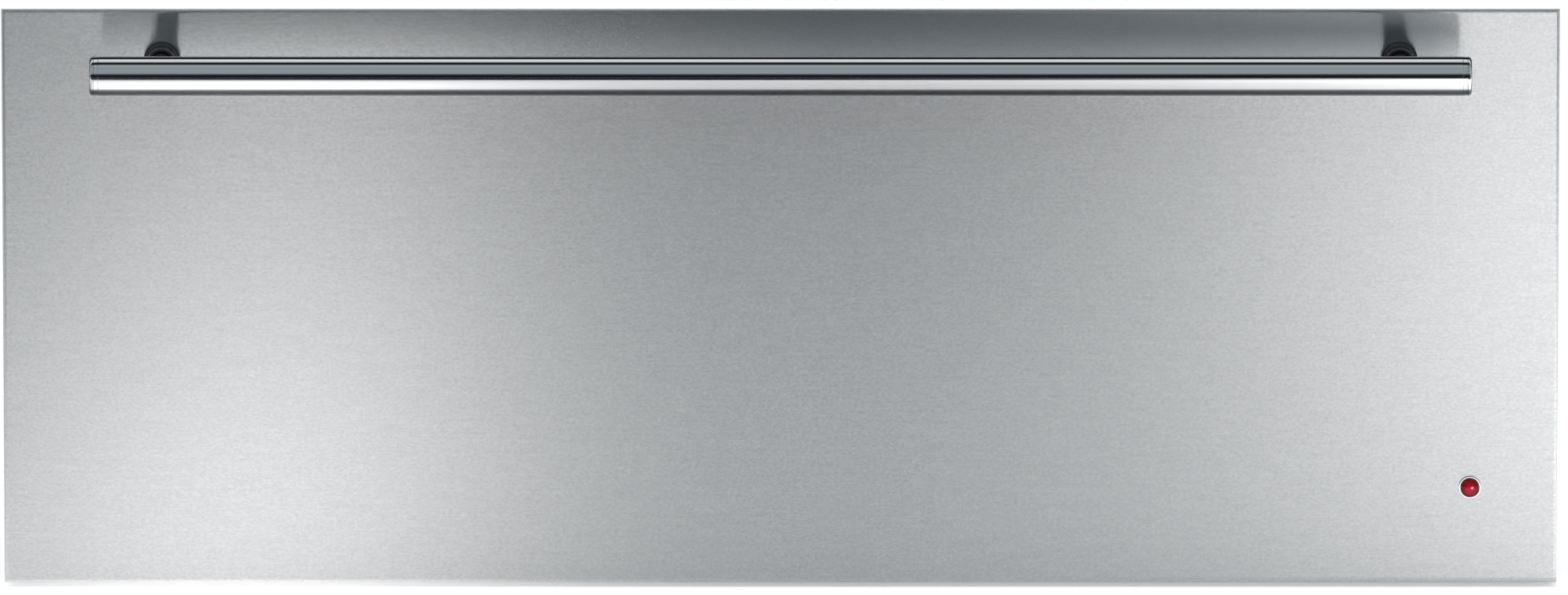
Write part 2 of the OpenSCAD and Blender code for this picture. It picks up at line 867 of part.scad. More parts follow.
module rubber_feet() {
  r = foot_d / 2;
  edge = 1;
  color(black) for (s = [-1, 1], y = foot_ys) translate([s * foot_x, y, 0]) rotate_extrude() {
    translate([0, edge]) square([r, foot_h - edge]);
    square([r - edge, foot_h]);
    translate([r - edge, edge]) circle(r = edge);
    translate([0, foot_h]) square([4, panel_t + 2]);
    translate([0, z_floor]) square([6, 2]);
  }
}

module housing_screws() {
  color(zinc) {
    both_sides() {
      for (y = cover_screw_ys) translate([housing_w / 2, y, z_roof - cover_lip / 2]) {
        rotate([0, 0, 90]) sheet_screw(8);
      }
      for (y = rail_screws) translate([x_wall + wall_t, y_slide + y, z_slide]) {
        rotate([0, 0, 90]) sheet_screw(wall_t + rail_t);
      }
    }
    for (p = rear_screws) translate([p[0], y_rear, p[1]]) rotate([0, 0, 180]) sheet_screw(8);
  }
}

// ---- controls ----

rocker_w = 11.4;
rocker_half = 8;
rocker_depth = 8.5;
rocker_tilt = 8;
y_recess = y_frame + recess_depth;
y_pivot = y_recess + 6;
switch_x = rocker_w / 2 + air;
switch_z = rocker_half + 1.5;
switch_wall = 1.5;
bush_r = dial_shaft_d / 2 + 1.2;

module control_moulding() {
  t = moulding_t;
  half = recess_w / 2;
  low = z_recess;
  high = z_recess + recess_h;
  color([0.10, 0.10, 0.11]) difference() {
    union() {
      block([x_control - half - 1.5, x_control + half + 1.5], [y_frame - t, y_frame], [low - 4, high + 4]);
      block([x_control - half, x_control + half], [y_frame - t, y_recess], [low, high]);
    }
    block([x_control - half + t, x_control + half - t], [y_frame - t - 1, y_recess - t],
          [low + t, high - t]);
    translate([x_control, 0, z_knob]) bar_y(bush_r + fit, y_recess - t - 1, y_recess + 1);
    translate([x_control, 0, z_switch]) {
      block([-switch_x - switch_wall - fit, switch_x + switch_wall + fit], [y_recess - t - 1, y_recess + 1],
            [-switch_z - switch_wall - fit, switch_z + switch_wall + fit]);
    }
  }
}

module switch_body() {
  x = switch_x + switch_wall;
  z = switch_z + switch_wall;
  front = y_recess - moulding_t;
  color(black) translate([x_control, 0, z_switch]) {
    difference() {
      union() {
        block([-x - 1.5, x + 1.5], [front - 1.2, front], [-z - 1.5, z + 1.5]);
        block([-x, x], [front - 1.2, y_recess + 20], [-z, z]);
      }
      block([-switch_x, switch_x], [front - 3, y_pivot + 9], [-switch_z, switch_z]);
      translate([0, y_pivot, 0]) bar_x(1.5 + pivot, -x - 1, x + 1);
    }
    for (s = [-1, 1]) block([-3, 3], [y_recess + 20, y_recess + 28], [s * 6 - 0.4, s * 6 + 0.4]);
  }
}

// tilted as it lies when the switch is off
module rocker_button() {
  color([0.16, 0.16, 0.17]) translate([x_control, y_pivot, z_switch]) rotate([rocker_tilt, 0, 0]) {
    slab_x(-rocker_w / 2, rocker_w / 2) polygon([
      [-rocker_depth, -rocker_half], [1 - rocker_depth, 0], [-rocker_depth, rocker_half],
      [2.5, rocker_half - 3], [2.5, 3 - rocker_half]
    ]);
    bar_x(1.5, -switch_x - switch_wall + 0.2, switch_x + switch_wall - 0.2);
  }
}

module thermostat_body() {
  color([0.80, 0.78, 0.72]) translate([x_control, 0, z_knob]) {
    difference() {
      union() {
        block([-14, 14], [y_recess, y_recess + 24], [-17, 17]);
        bar_y(bush_r, y_recess - moulding_t - 1.5, y_recess + 1);
      }
      bar_y(dial_shaft_d / 2 + pivot, y_recess - 6, y_recess + 18);
    }
    for (s = [-1, 1]) block([-3, 3], [y_recess + 24, y_recess + 31], [s * 10 - 0.4, s * 10 + 0.4]);
  }
}

y_knob_back = y_recess - moulding_t - 1.5 - air;
y_knob_front = y_knob_back - knob_depth;

module thermostat_shaft() {
  color(zinc) translate([x_control, 0, z_knob]) difference() {
    bar_y(dial_shaft_d / 2, y_knob_front + 3, y_recess + 17);
    block([dial_shaft_d / 2 - 1, dial_shaft_d], [y_knob_front, y_knob_back - 1], [-5, 5]);
  }
}

// a skirt with a raised grip across it and a pointer groove
module thermostat_knob() {
  r = knob_d / 2;
  grip = 7;
  color([0.13, 0.13, 0.14]) translate([x_control, 0, z_knob]) difference() {
    union() {
      bar_y(r, y_knob_back - 3.5, y_knob_back, 96);
      bar_y(r - 2, y_knob_back - 5, y_knob_back, 96);
      intersection() {
        bar_y(r - 2, y_knob_front, y_knob_back, 96);
        block([-grip / 2, grip / 2], [y_knob_front, y_knob_back], [-r, r]);
      }
    }
    bar_y(dial_shaft_d / 2 + pivot, y_knob_front + 3 - pivot, y_knob_back + 1);
    block([-0.6, 0.6], [y_knob_front - 1, y_knob_front + 0.8], [2, r + 1]);
  }
}

module pilot_led() {
  color([0.80, 0.10, 0.08]) translate([x_lamp, y_frame, z_lamp]) turned_y() {
    translate([0, -1]) square([3.9, 1]);
    translate([0, -1]) square([3, 13]);
    translate([0, frame_t]) square([4.2, 3]);
    translate([0, -1]) intersection() {
      circle(r = 2);
      translate([0, -2]) square([2, 3]);
    }
    translate([0.8, 12]) square([0.8, 5]);
  }
}

// ---- hot air unit ----

// a plate across the back of the warm space with folded edges towards the rear
module cross_plate(y) {
  t = wall_t;
  z = [z_floor, z_roof - air];
  slab_y(y, y + t) difference() {
    patch([-x_chamber, x_chamber], z);
    children();
  }
  both_sides() block([x_chamber - t, x_chamber], [y, y + t + lip], z);
  for (low = [z[0], z[1] - t]) {
    block([-x_chamber, x_chamber], [y, y + t + lip], [low, low + t]);
  }
}

module fan_baffle() {
  hole_d = 5.5;
  outlets = 6;
  color(steel) cross_plate(y_baffle) {
    translate([0, z_fan]) {
      circle(d = hole_d);
      for (ring = [1:4], k = [1:6 * ring]) {
        rotate(k * 60 / ring) translate([ring * 11, 0]) circle(d = hole_d);
      }
    }
    for (s = [-1, 1], i = [0:outlets - 1], j = [-1, 1]) {
      translate([s * (104 + i * 18), z_fan + j * 36]) upright_slot(6, 52);
    }
  }
}

module motor_plate() {
  color(galvanised) cross_plate(y_motor_plate) {
    translate([0, z_fan]) {
      circle(r = 12);
      for (a = ring_ends) rotate(a) translate([ring_r, 0]) circle(r = heater_d / 2 + air);
    }
  }
}

ring_ends = [-90 - ring_gap, -90 + ring_gap];

// a tube bent into a ring, with its two ends turned back through the motor plate
module ring_heater() {
  r = heater_d / 2;
  leg = y_motor_plate + wall_t + 14;
  color([0.30, 0.29, 0.28]) translate([0, y_ring, z_fan]) {
    rotate([90, -90 + ring_gap, 0]) rotate_extrude(angle = 360 - 2 * ring_gap, $fn = 96) {
      translate([ring_r, 0]) circle(r = r);
    }
    for (a = ring_ends) rotate([0, -a, 0]) translate([ring_r, 0, 0]) {
      sphere(r = r + 0.15);
      bar_y(r, 0, leg - y_ring);
      bar_y(1.5, leg - y_ring, leg - y_ring + 8);
    }
  }
}

module heater_clips() {
  r = heater_d / 2;
  color(zinc) translate([0, 0, z_fan]) for (a = clip_angles) rotate([0, -a, 0]) {
    translate([ring_r, 0, 0]) difference() {
      union() {
        block([-r - 1.8, r + 1.8], [y_ring - r - 1.8, y_motor_plate], [-3, 3]);
        block([-r - 1.8, r + 9], [y_motor_plate - 1.2, y_motor_plate], [-5, 5]);
      }
      translate([0, y_ring, -4]) cylinder(r = r + air, h = 8);
    }
  }
}

module fan_impeller() {
  r = impeller_d / 2;
  tilt = 28;
  chord = r * 0.3;
  color(galvanised) translate([0, 0, z_fan]) difference() {
    union() {
      bar_y(r, y_disc, y_disc + 1.2, 96);
      bar_y(9, y_impeller + 2, y_disc + 1);
      slab_y(y_impeller, y_disc + 0.5) for (i = [1:blades]) {
        rotate(i * 360 / blades) translate([r - 1, 0]) rotate(tilt) translate([-chord, -0.4]) {
          square([chord, 0.8]);
        }
      }
      slab_y(y_impeller, y_impeller + 1) difference() {
        circle(r = r, $fn = 96);
        circle(r = r - 8, $fn = 96);
      }
    }
    bar_y(motor_shaft_d / 2 + pivot, y_impeller, y_disc + 3);
  }
}

module motor_shaft() {
  color(zinc) translate([0, 0, z_fan]) {
    bar_y(motor_shaft_d / 2, y_impeller + 1, y_motor_plate + wall_t + motor_len + 5);
  }
}

module fan_motor() {
  y = y_motor_plate + wall_t;
  color([0.42, 0.43, 0.45]) translate([0, 0, z_fan]) difference() {
    union() {
      bar_y(10, y - wall_t - 1, y + motor_len + 4);
      bar_y(motor_d / 2, y + 2, y + motor_len - 2);
      bar_y(motor_d / 2 - 2, y, y + motor_len);
      for (i = [1:motor_feet]) rotate([0, i * 360 / motor_feet + 30, 0]) {
        block([-8, 8], [y, y + 2], [0, motor_d / 2 + 12]);
      }
    }
    bar_y(motor_shaft_d / 2 + pivot, y - 4, y + motor_len + 6);
  }
}

module safety_thermostat() {
  color([0.75, 0.74, 0.70]) translate([-110, y_motor_plate + wall_t, z_fan + 35]) {
    block([-12, 12], [0, 1], [-6, 6]);
    bar_y(8, 0, 9);
    for (s = [-1, 1]) block([s * 4 - 2.4, s * 4 + 2.4], [9, 16], [-0.4, 0.4]);
  }
}

// ---- supply ----

module terminal_box() {
  x = [box_offset, box_offset + box_w];
  z = [z_box, z_box + box_h];
  color(black) difference() {
    block(x, [y_rear, y_cover], z);
    block([x[0] + box_t, x[1] - box_t], [y_box_floor, y_cover + 1], [z[0] + box_t, z[1] - box_t]);
    translate([0, y_gland, z_gland]) bar_x(thread_r + fit, x[0] - 1, x[0] + box_t + 1);
    translate([x_wires, 0, z_gland]) bar_y(loom_d / 2 + 2, y_rear - 1, y_box_floor + 1);
  }
}

module terminal_cover() {
  x = [box_offset, box_offset + box_w];
  z = [z_box, z_box + box_h];
  mid = box_offset + box_w / 2;
  color(black) {
    block(x, [y_cover, y_rear + box_depth], z);
    for (h = [z[0] + box_t + fit, z[1] - box_t - fit - 1.2]) {
      block([mid - 6, mid + 6], [y_cover - 6, y_cover + 0.5], [h, h + 1.2]);
    }
  }
}

module terminal_block() {
  poles = 3;
  pitch = 9;
  deep = 13;
  high = 16;
  x = x_wires - 16;
  color([0.88, 0.87, 0.82]) translate([x, y_box_floor, z_gland]) difference() {
    block([-high / 2, high / 2], [0, deep], [-poles * pitch / 2, poles * pitch / 2]);
    for (i = [0:poles - 1]) translate([0, deep / 2, (i - (poles - 1) / 2) * pitch]) {
      bar_x(2, -high, high);
      for (s = [-1, 1]) translate([s * 4, 0, 0]) bar_y(1.8, 0, deep);
    }
  }
}

module cable_gland() {
  bore = cable_bore_d / 2;
  inside = gland_inside;
  outside = gland_len - inside;
  hex = 6;
  color([0.16, 0.16, 0.17]) translate([box_offset, y_gland, z_gland]) difference() {
    union() {
      bar_x(thread_r, -hex, inside);
      bar_x(thread_r + 3, -hex, 0, 6);
      bar_x(thread_r + 1.6, 4 - outside, -hex + 1);
      turned_x() translate([0, -outside]) square([thread_r + 0.2, 8]);
    }
    bar_x(bore, -outside - 1, inside + 1);
  }
}

module gland_nut() {
  color([0.16, 0.16, 0.17]) translate([box_offset + box_t, y_gland, z_gland]) difference() {
    bar_x(thread_r + 1.9, 0, 4, 6);
    bar_x(thread_r + pivot, -1, 5);
  }
}

// a wire bundle along straight runs with round corners
module bundle(r, points) {
  for (i = [0:len(points) - 2]) {
    a = points[i];
    step = points[i + 1] - a;
    h = norm(step);
    translate(a) rotate([0, acos(step[2] / h), atan2(step[1], step[0])]) cylinder(r = r, h = h);
  }
  for (i = [1:len(points) - 2]) translate(points[i]) sphere(r = r * 1.04);
}

module wiring_loom() {
  y_turn = y_rear - 12;
  z = z_gland;
  y_front = y_recess + 42;
  y_motor = y_motor_plate + wall_t + motor_len / 2;
  color([0.55, 0.12, 0.10]) {
    bundle(loom_d / 2, [
      [x_wires, y_box_floor + 6, z], [x_wires, y_turn, z], [x_loom, y_turn, z],
      [x_loom, y_front, z], [x_loom, y_front, z_switch]
    ]);
    bundle(1.6, [
      [x_wires, y_turn, z], [motor_d + 14, y_motor, z], [motor_d + 14, y_motor, z_fan - 8],
      [motor_d / 2, y_motor, z_fan - 8]
    ]);
  }
}

front_panel();
front_liner();
handle_stiffener();
insulation_pad();
handle_tube();
handle_end_caps();
left_handle_post();
right_handle_post();
handle_collars();
handle_screws();
lamp_lens();
lamp_bezel();
light_guide();
door_gasket();
stop_bumpers();
drawer_tub();
anti_slip_mat();
tub_brackets();
drawer_screws();
left_inner_rail();
right_inner_rail();
left_middle_rail();
right_middle_rail();
left_outer_rail();
right_outer_rail();
left_outer_cage();
right_outer_cage();
left_inner_cage();
right_inner_cage();
base_pan();
left_side_panel();
right_side_panel();
top_cover();
rear_panel();
front_frame();
left_inner_wall();
right_inner_wall();
rubber_feet();
housing_screws();
control_moulding();
switch_body();
rocker_button();
thermostat_body();
thermostat_shaft();
thermostat_knob();
pilot_led();
fan_baffle();
motor_plate();
fan_motor();
motor_shaft();
fan_impeller();
ring_heater();
heater_clips();
safety_thermostat();
terminal_box();
terminal_cover();
terminal_block();
cable_gland();
gland_nut();
wiring_loom();
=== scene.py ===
import json
import math
import bmesh
import bpy
from mathutils import Matrix, Vector, noise


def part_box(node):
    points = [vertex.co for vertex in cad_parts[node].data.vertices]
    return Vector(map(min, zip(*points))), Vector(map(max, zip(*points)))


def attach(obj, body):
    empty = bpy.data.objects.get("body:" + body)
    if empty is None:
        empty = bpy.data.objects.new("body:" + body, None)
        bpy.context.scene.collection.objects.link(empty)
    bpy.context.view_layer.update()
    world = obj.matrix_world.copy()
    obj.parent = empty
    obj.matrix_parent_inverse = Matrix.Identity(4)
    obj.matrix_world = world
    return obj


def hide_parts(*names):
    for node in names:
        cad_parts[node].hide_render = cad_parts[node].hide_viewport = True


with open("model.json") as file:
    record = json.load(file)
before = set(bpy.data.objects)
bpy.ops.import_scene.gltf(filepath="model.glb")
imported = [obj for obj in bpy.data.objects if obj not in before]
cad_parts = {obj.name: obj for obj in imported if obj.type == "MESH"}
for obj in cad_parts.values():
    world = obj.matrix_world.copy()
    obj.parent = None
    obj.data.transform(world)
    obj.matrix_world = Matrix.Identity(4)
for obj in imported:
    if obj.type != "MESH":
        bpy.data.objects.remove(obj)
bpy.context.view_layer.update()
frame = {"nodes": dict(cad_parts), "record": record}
nodes = frame["nodes"]
mm = 0.001
touch = 0.01 * mm  # vertices this near a plane lie on it

# places that the new pieces are built to
frontLow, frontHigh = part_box("front_panel")
tubeLow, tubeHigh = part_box("handle_tube")
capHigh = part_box("handle_end_caps")[1]
postLow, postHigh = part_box("right_handle_post")
collarLow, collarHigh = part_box("handle_collars")
lensLow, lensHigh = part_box("lamp_lens")
bezelLow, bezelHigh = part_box("lamp_bezel")
faceY = frontLow.y
backY = frontHigh.y
tubeRadius = (tubeHigh.z - tubeLow.z) / 2
tubeY = (tubeLow.y + tubeHigh.y) / 2
postX = (postLow.x + postHigh.x) / 2
postZ = (postLow.z + postHigh.z) / 2
lampX = (lensLow.x + lensHigh.x) / 2
lampZ = (lensLow.z + lensHigh.z) / 2


# a socket that can be used in plain expressions; each one adds its Math node
class Wire:
    def __init__(self, graph, socket):
        self.graph = graph
        self.socket = socket

    def math(self, operation, *others):
        values = dict(enumerate((self,) + others))
        return self.graph.add("Math", values, operation=operation)

    def __add__(self, other):
        return self.math("ADD", other)

    def __sub__(self, other):
        return self.math("SUBTRACT", other)

    def __rsub__(self, other):
        return self.graph.add("Math", {0: other, 1: self}, operation="SUBTRACT")

    def __mul__(self, other):
        return self.math("MULTIPLY", other)

    def __truediv__(self, other):
        return self.math("DIVIDE", other)

    def clamped(self):
        return self.math("MAXIMUM", 0.0).math("MINIMUM", 1.0)

    __radd__ = __add__
    __rmul__ = __mul__


# a node tree that nodes are added to by kind, inputs and settings
class Graph:
    def __init__(self, tree):
        self.tree = tree
        tree.nodes.clear()

    def add(self, kind, inputs=None, output=0, **settings):
        made = self.tree.nodes.new("ShaderNode" + kind)
        for name, value in settings.items():
            setattr(made, name, value)
        for name, value in (inputs or {}).items():
            if isinstance(value, Wire):
                self.tree.links.new(value.socket, made.inputs[name])
            elif value is not None:
                made.inputs[name].default_value = value
        return Wire(self, made.outputs[output]) if made.outputs else made

    # stops are pairs of a place and a shade, which is a number or a colour
    def ramp(self, factor, stops, smooth="LINEAR"):
        made = self.add("ValToRGB", {0: factor})
        ramp = made.socket.node.color_ramp
        ramp.interpolation = smooth
        while len(ramp.elements) < len(stops):
            ramp.elements.new(0.5)
        for element, (place, shade) in zip(ramp.elements, stops):
            element.position = place
            element.color = (*shade, 1) if isinstance(shade, tuple) else (shade, shade, shade, 1)
        return made

    # a mix of two colours, each a tuple or a wire
    def colour(self, factor, first, second):
        ends = [(*c, 1) if isinstance(c, tuple) else c for c in (first, second)]
        return self.add("Mix", {0: factor, 6: ends[0], 7: ends[1]}, output=2, data_type="RGBA")

    # a colour that wanders between a darker and a lighter shade of itself
    def shades(self, factor, colour, shades):
        return self.colour(factor, shaded(colour, shades[0]), shaded(colour, shades[1]))

    # the same, and a fine relief, with the values of a finish
    def tone(self, factor, user):
        return self.shades(factor, user["colour"], user["shades"])

    def relief(self, height, user, normal=None):
        return self.bump(height, user["bump"], user["depth"], normal)

    # object coordinates, stretched by a scale
    def place(self, scale=(1, 1, 1)):
        coords = self.add("TexCoord", output=3)
        return self.add("Mapping", {0: coords, 3: scale})

    # noise in object coordinates; stretch is a scale for each axis
    def noise(self, scale, detail=3.0, stretch=(1, 1, 1), rough=0.5):
        return self.add("TexNoise", {"Vector": self.place(stretch), "Scale": scale, "Detail": detail,
                                     "Roughness": rough})

    # the x, y and z of a vector, of the object coordinates unless another is given
    def split(self, vector=None):
        vector = vector or self.add("TexCoord", output=3)
        parts = self.add("SeparateXYZ", {0: vector}).socket.node.outputs
        return [Wire(self, part) for part in parts]

    # a pressed bead, 1 along the outline of a rectangle between two corners and 0 away from it
    def bead(self, low, high, across, up, user):
        split = self.split()
        gaps = []
        for axis, a, b in ((across, low[0], high[0]), (up, low[1], high[1])):
            gaps.append((split[axis] - (a + b) / 2).math("ABSOLUTE") - (b - a) / 2)
        outline = gaps[0].math("SMOOTH_MAX", gaps[1], user["corner"])
        return (1 - outline.math("ABSOLUTE") / user["half"]).clamped()

    # normals rounded off near edges, and a mask of the edges themselves
    def edges(self, radius):
        soft = self.add("Bevel", {"Radius": radius}, samples=4)
        flat = self.add("NewGeometry", output=1)
        along = self.measure("DOT_PRODUCT", soft, flat)
        return soft, ((1 - along) * edgeGain).clamped()

    # a number made of two vectors
    def measure(self, operation, first, second):
        return self.add("VectorMath", {0: first, 1: second}, output=1, operation=operation)

    def bump(self, height, strength, distance, normal=None):
        return self.add("Bump", {"Strength": strength, "Distance": distance, "Height": height,
                                 "Normal": normal})


edgeGain = 6.0  # how soon an edge's mask is full


def newSurface(name):
    made = bpy.data.materials.new(name)
    made.use_nodes = True
    graph = Graph(made.node_tree)
    graph.material = made
    return graph


# ends a surface with a shader; gives back its material
def finishWith(graph, shader):
    graph.add("OutputMaterial", {"Surface": shader})
    return graph.material


def finishSurface(graph, sockets):
    return finishWith(graph, graph.add("BsdfPrincipled", sockets))


# lighter or darker shades of one colour
def shaded(colour, factor):
    return tuple(min(1.0, c * factor) for c in colour)


brushing = {
    "colour": (0.42, 0.43, 0.445), "shades": (0.75, 1.25), "rough": 0.27, "lineRough": 0.05, "cloud": 9.0,
    "cloudRough": 0.02, "lineLength": 90.0, "lineHeight": 3400.0, "lineShare": 0.6, "bandScale": 0.25,
    "lineDepth": 0.27, "bump": 0.25, "depth": 0.01 * mm, "speckle": 1000.0,
    "speckleStretch": (0.85, 1, 1.25), "speckleDepth": 0.38, "tallColour": (0.80, 0.81, 0.82),
    "tallRoughness": 0.222, "tallSpread": 0.84, "tallShare": 0.80}

# on the front: painted shade behind the handle for its shadow and dark mirror image, and a smoother fold on
# top with a painted highlight
frontExtra = {
    "behindFrom": postZ - 14 * mm, "behindFade": 14 * mm, "behindShare": 0.6,
    "paintedShadeColour": (0.34, 0.385, 0.42),
    "behindAcross": [(0.38, 0.1), (0.52, 1.0), (0.745, 1.0), (0.765, 0.0)],
    "foldFacing": [(0.6, 0.0), (0.95, 1.0)], "foldHighlightColour": (0.97, 0.97, 0.975), "foldPolish": 0.14}
rampUp = [(0.0, 0.0), (1.0, 1.0)]


# steel brushed along x: fine lines that stretch a reflection up and down and keep it sharp sideways
def brushedSteel(name, user=brushing, extra=None):
    graph = newSurface(name)
    fine = (user["lineLength"], user["lineLength"], user["lineHeight"])
    lines = graph.noise(1.0, 2.0, fine)
    bands = graph.noise(1.0, 2.0, tuple(scale * user["bandScale"] for scale in fine))
    speckle = graph.noise(user["speckle"], 1.0, user["speckleStretch"])
    grain = lines * user["lineShare"] + bands * (1 - user["lineShare"])
    normal = graph.relief(grain, user)
    colour = graph.tone(grain, user)
    rough = user["rough"] + grain * user["lineRough"] + graph.noise(user["cloud"]) * user["cloudRough"]
    share = (speckle - 0.5) * user["speckleDepth"] + (grain - 0.5) * user["lineDepth"] + user["tallShare"]
    share = share.clamped()
    if extra:
        x, y, z = graph.split()
        # painted shade from the handle upwards: a darker colour and less of the tall reflection, for the
        # handle's shadow
        behind = graph.ramp((z - extra["behindFrom"]) / extra["behindFade"], rampUp, "EASE")
        behind = behind * graph.ramp(x + 0.5, extra["behindAcross"])
        colour = graph.colour(behind, colour, extra["paintedShadeColour"])
        # the fold on top, which faces up, is smoother and carries a near-white painted highlight
        up = graph.split(graph.add("NewGeometry", output=1))[2]
        fold = graph.ramp(up, extra["foldFacing"])
        colour = graph.colour(fold, colour, extra["foldHighlightColour"])
        rough = rough - fold * extra["foldPolish"]
        share = share * (1 - behind * extra["behindShare"]) * (1 - fold)
    soft = graph.add("BsdfPrincipled", {
        "Base Color": colour, "Metallic": 1.0, "Roughness": rough,
        "Anisotropic": 1.0, "Anisotropic Rotation": 0.25, "Normal": normal})
    tall = graph.add("BsdfAnisotropic", {
        "Color": (*user["tallColour"], 1), "Roughness": user["tallRoughness"],
        "Anisotropy": user["tallSpread"], "Normal": normal})
    both = graph.add("MixShader", {0: share, 1: soft, 2: tall})
    return finishWith(graph, both)


polish = {
    "colour": (0.83, 0.835, 0.845), "rough": 0.035, "stretch": (3.0, 900.0, 900.0), "lineRough": 0.03,
    "bump": 0.06, "depth": 0.01 * mm, "smear": 30.0, "dull": [(0.52, 0.0), (0.75, 1.0)],
    "dullShade": 0.96, "dullRough": 0.05, "rim": [(0.40, 0.0), (0.55, 1.0)],
    "paintedRimReflection": (0.05, 0.055, 0.06)}

# painted shade on the side of the tube that faces the front and on its underside: a dark colour and a
# rougher finish there stand in for the dark that the tube mirrors
paintedTubeShade = {
    "colour": (0.08, 0.083, 0.09), "rough": 0.12, "behind": 1.5 * mm, "fade": 3 * mm,
    "along": [(0.24, 0.35), (0.44, 1.0)], "under": [(0.0, 0.0), (0.05, 0.18), (0.5, 0.25), (0.62, 1.0)]}


# polished steel with faint lines along the tube, a few dull spots, and a painted dark reflection where the
# surface is seen edge-on
def polishedSteel(name, user=polish, dark=None):
    graph = newSurface(name)
    edge = graph.add("LayerWeight", {"Blend": 0.5}, output=1)
    lines = graph.noise(1.0, 2.0, user["stretch"])
    dull = graph.ramp(graph.noise(user["smear"], 4.0), user["dull"])
    rough = user["rough"] + lines * user["lineRough"] + dull * user["dullRough"]
    colour = graph.shades(dull, user["colour"], (1.0, user["dullShade"]))
    if dark:
        # painted shade: dark on the side that faces the front, more so towards the right, and along the
        # underside
        x, y, z = graph.split()
        share = graph.ramp((y - (tubeY + dark["behind"])) / dark["fade"], rampUp, "EASE")
        share = share * graph.ramp(x + 0.5, dark["along"], "EASE")
        share = share + graph.ramp((postZ - z) / tubeRadius, dark["under"]) * (1 - share)
        colour = graph.colour(share, colour, dark["colour"])
        rough = rough + share * dark["rough"]
    colour = graph.colour(graph.ramp(edge, user["rim"]), colour, user["paintedRimReflection"])
    return finishSurface(graph, {"Base Color": colour, "Metallic": 1.0, "Roughness": rough,
                                 "Normal": graph.relief(lines, user)})


galvanising = {
    "colour": (0.55, 0.57, 0.59), "shades": (0.86, 1.12), "crystal": 90.0, "crystalShare": 0.65,
    "cloud": 14.0, "metallic": 0.85, "rough": 0.34, "mixedRough": 0.16, "bump": 0.05, "depth": 0.2 * mm,
    "edge": 0.5 * mm, "edgeColour": (0.74, 0.75, 0.76), "edgeRough": 0.08, "rub": 6.0,
    "rubStretch": (60, 3, 60), "rubLeast": 0.35}
pressing = {"corner": 8 * mm, "half": 3 * mm, "height": 1.2 * mm}


# zinc-coated sheet with its faint crystals, rubbed brighter along its edges, and with pressed beads
def galvanisedSheet(name, user=galvanising, beads=()):
    graph = newSurface(name)
    crystals = graph.add("TexVoronoi", {"Vector": graph.place(), "Scale": user["crystal"]}, output=1,
                         feature="F1")
    flake = graph.add("SeparateColor", {0: crystals})
    cloud = graph.noise(user["cloud"], 4.0)
    mixed = flake * user["crystalShare"] + cloud * (1 - user["crystalShare"])
    soft, edge = graph.edges(user["edge"])
    wear = (edge * (graph.noise(user["rub"], 4.0, user["rubStretch"]) + user["rubLeast"])).clamped()
    normal = graph.relief(cloud, user, soft)
    for corners in beads:
        normal = graph.bump(graph.bead(*corners, pressing), 1.0, pressing["height"], normal)
    colour = graph.tone(mixed, user)
    return finishSurface(graph, {
        "Base Color": graph.colour(wear, colour, user["edgeColour"]), "Metallic": user["metallic"],
        "Roughness": user["rough"] + mixed * user["mixedRough"] - wear * user["edgeRough"],
        "Normal": normal})


plating = {
    "colour": (0.60, 0.61, 0.62), "shades": (0.82, 1.1), "metallic": 0.95, "rough": 0.28,
    "markRough": 0.10, "cloudRough": 0.06, "stretch": (120.0, 4.0, 120.0), "marks": 8.0, "bump": 0.15,
    "depth": 0.05 * mm, "cloud": 40.0, "edge": 0.25 * mm, "edgeShade": 1.3, "edgeLeast": 0.3}


# plated steel, with fine roll marks along one direction, dull patches and bright edges
def platedSteel(name, **changes):
    user = dict(plating, **changes)
    graph = newSurface(name)
    marks = graph.noise(user["marks"], 3.0, user["stretch"])
    cloud = graph.noise(user["cloud"], 4.0)
    soft, edge = graph.edges(user["edge"])
    wear = (edge * (cloud + user["edgeLeast"])).clamped()
    colour = graph.tone(cloud, user)
    return finishSurface(graph, {
        "Base Color": graph.colour(wear, colour, shaded(user["colour"], user["edgeShade"])),
        "Metallic": user["metallic"],
        "Roughness": user["rough"] + marks * user["markRough"] + cloud * user["cloudRough"],
        "Normal": graph.relief(marks, user, soft)})


enamel = {
    "colour": (0.022, 0.022, 0.024), "shades": (0.85, 1.2), "rough": 0.35, "cloudRough": 0.08,
    "coat": 0.3, "coatRough": 0.15, "peel": 700.0, "bump": 0.12, "depth": 0.1 * mm, "cloud": 20.0,
    "chips": 260.0, "chipped": [(0.40, 0.0), (0.52, 1.0)], "bare": (0.36, 0.36, 0.37), "bareMetal": 0.8,
    "edge": 0.4 * mm, "edgeShade": 2.2, "edgeShare": 0.5}


# lacquer or enamel on metal, with the faint waviness of a sprayed coat, thin and rubbed at the edges
def sprayedCoat(name, user=enamel):
    graph = newSurface(name)
    cloud = graph.noise(user["cloud"])
    soft, edge = graph.edges(user["edge"])
    wear = graph.ramp(edge * graph.noise(user["chips"]), user["chipped"])
    body = graph.tone(cloud, user)
    body = graph.colour(edge * user["edgeShare"], body, shaded(user["colour"], user["edgeShade"]))
    return finishSurface(graph, {
        "Base Color": graph.colour(wear, body, user["bare"]), "Metallic": wear * user["bareMetal"],
        "Roughness": user["rough"] + cloud * user["cloudRough"],
        "Coat Weight": user["coat"], "Coat Roughness": user["coatRough"],
        "Normal": graph.relief(graph.noise(user["peel"], 2.0), user, soft)})


moulding = {
    "colour": (0.028, 0.028, 0.030), "shades": (0.8, 1.25), "rough": 0.5, "grainRough": 0.08,
    "cloud": 25.0, "cloudRough": 0.05, "grain": 1600.0, "bump": 0.25, "depth": 0.1 * mm, "coat": 0.0,
    "edge": 0.3 * mm, "edgeShade": 1.7, "edgeShare": 0.6, "edgePolish": 0.12}


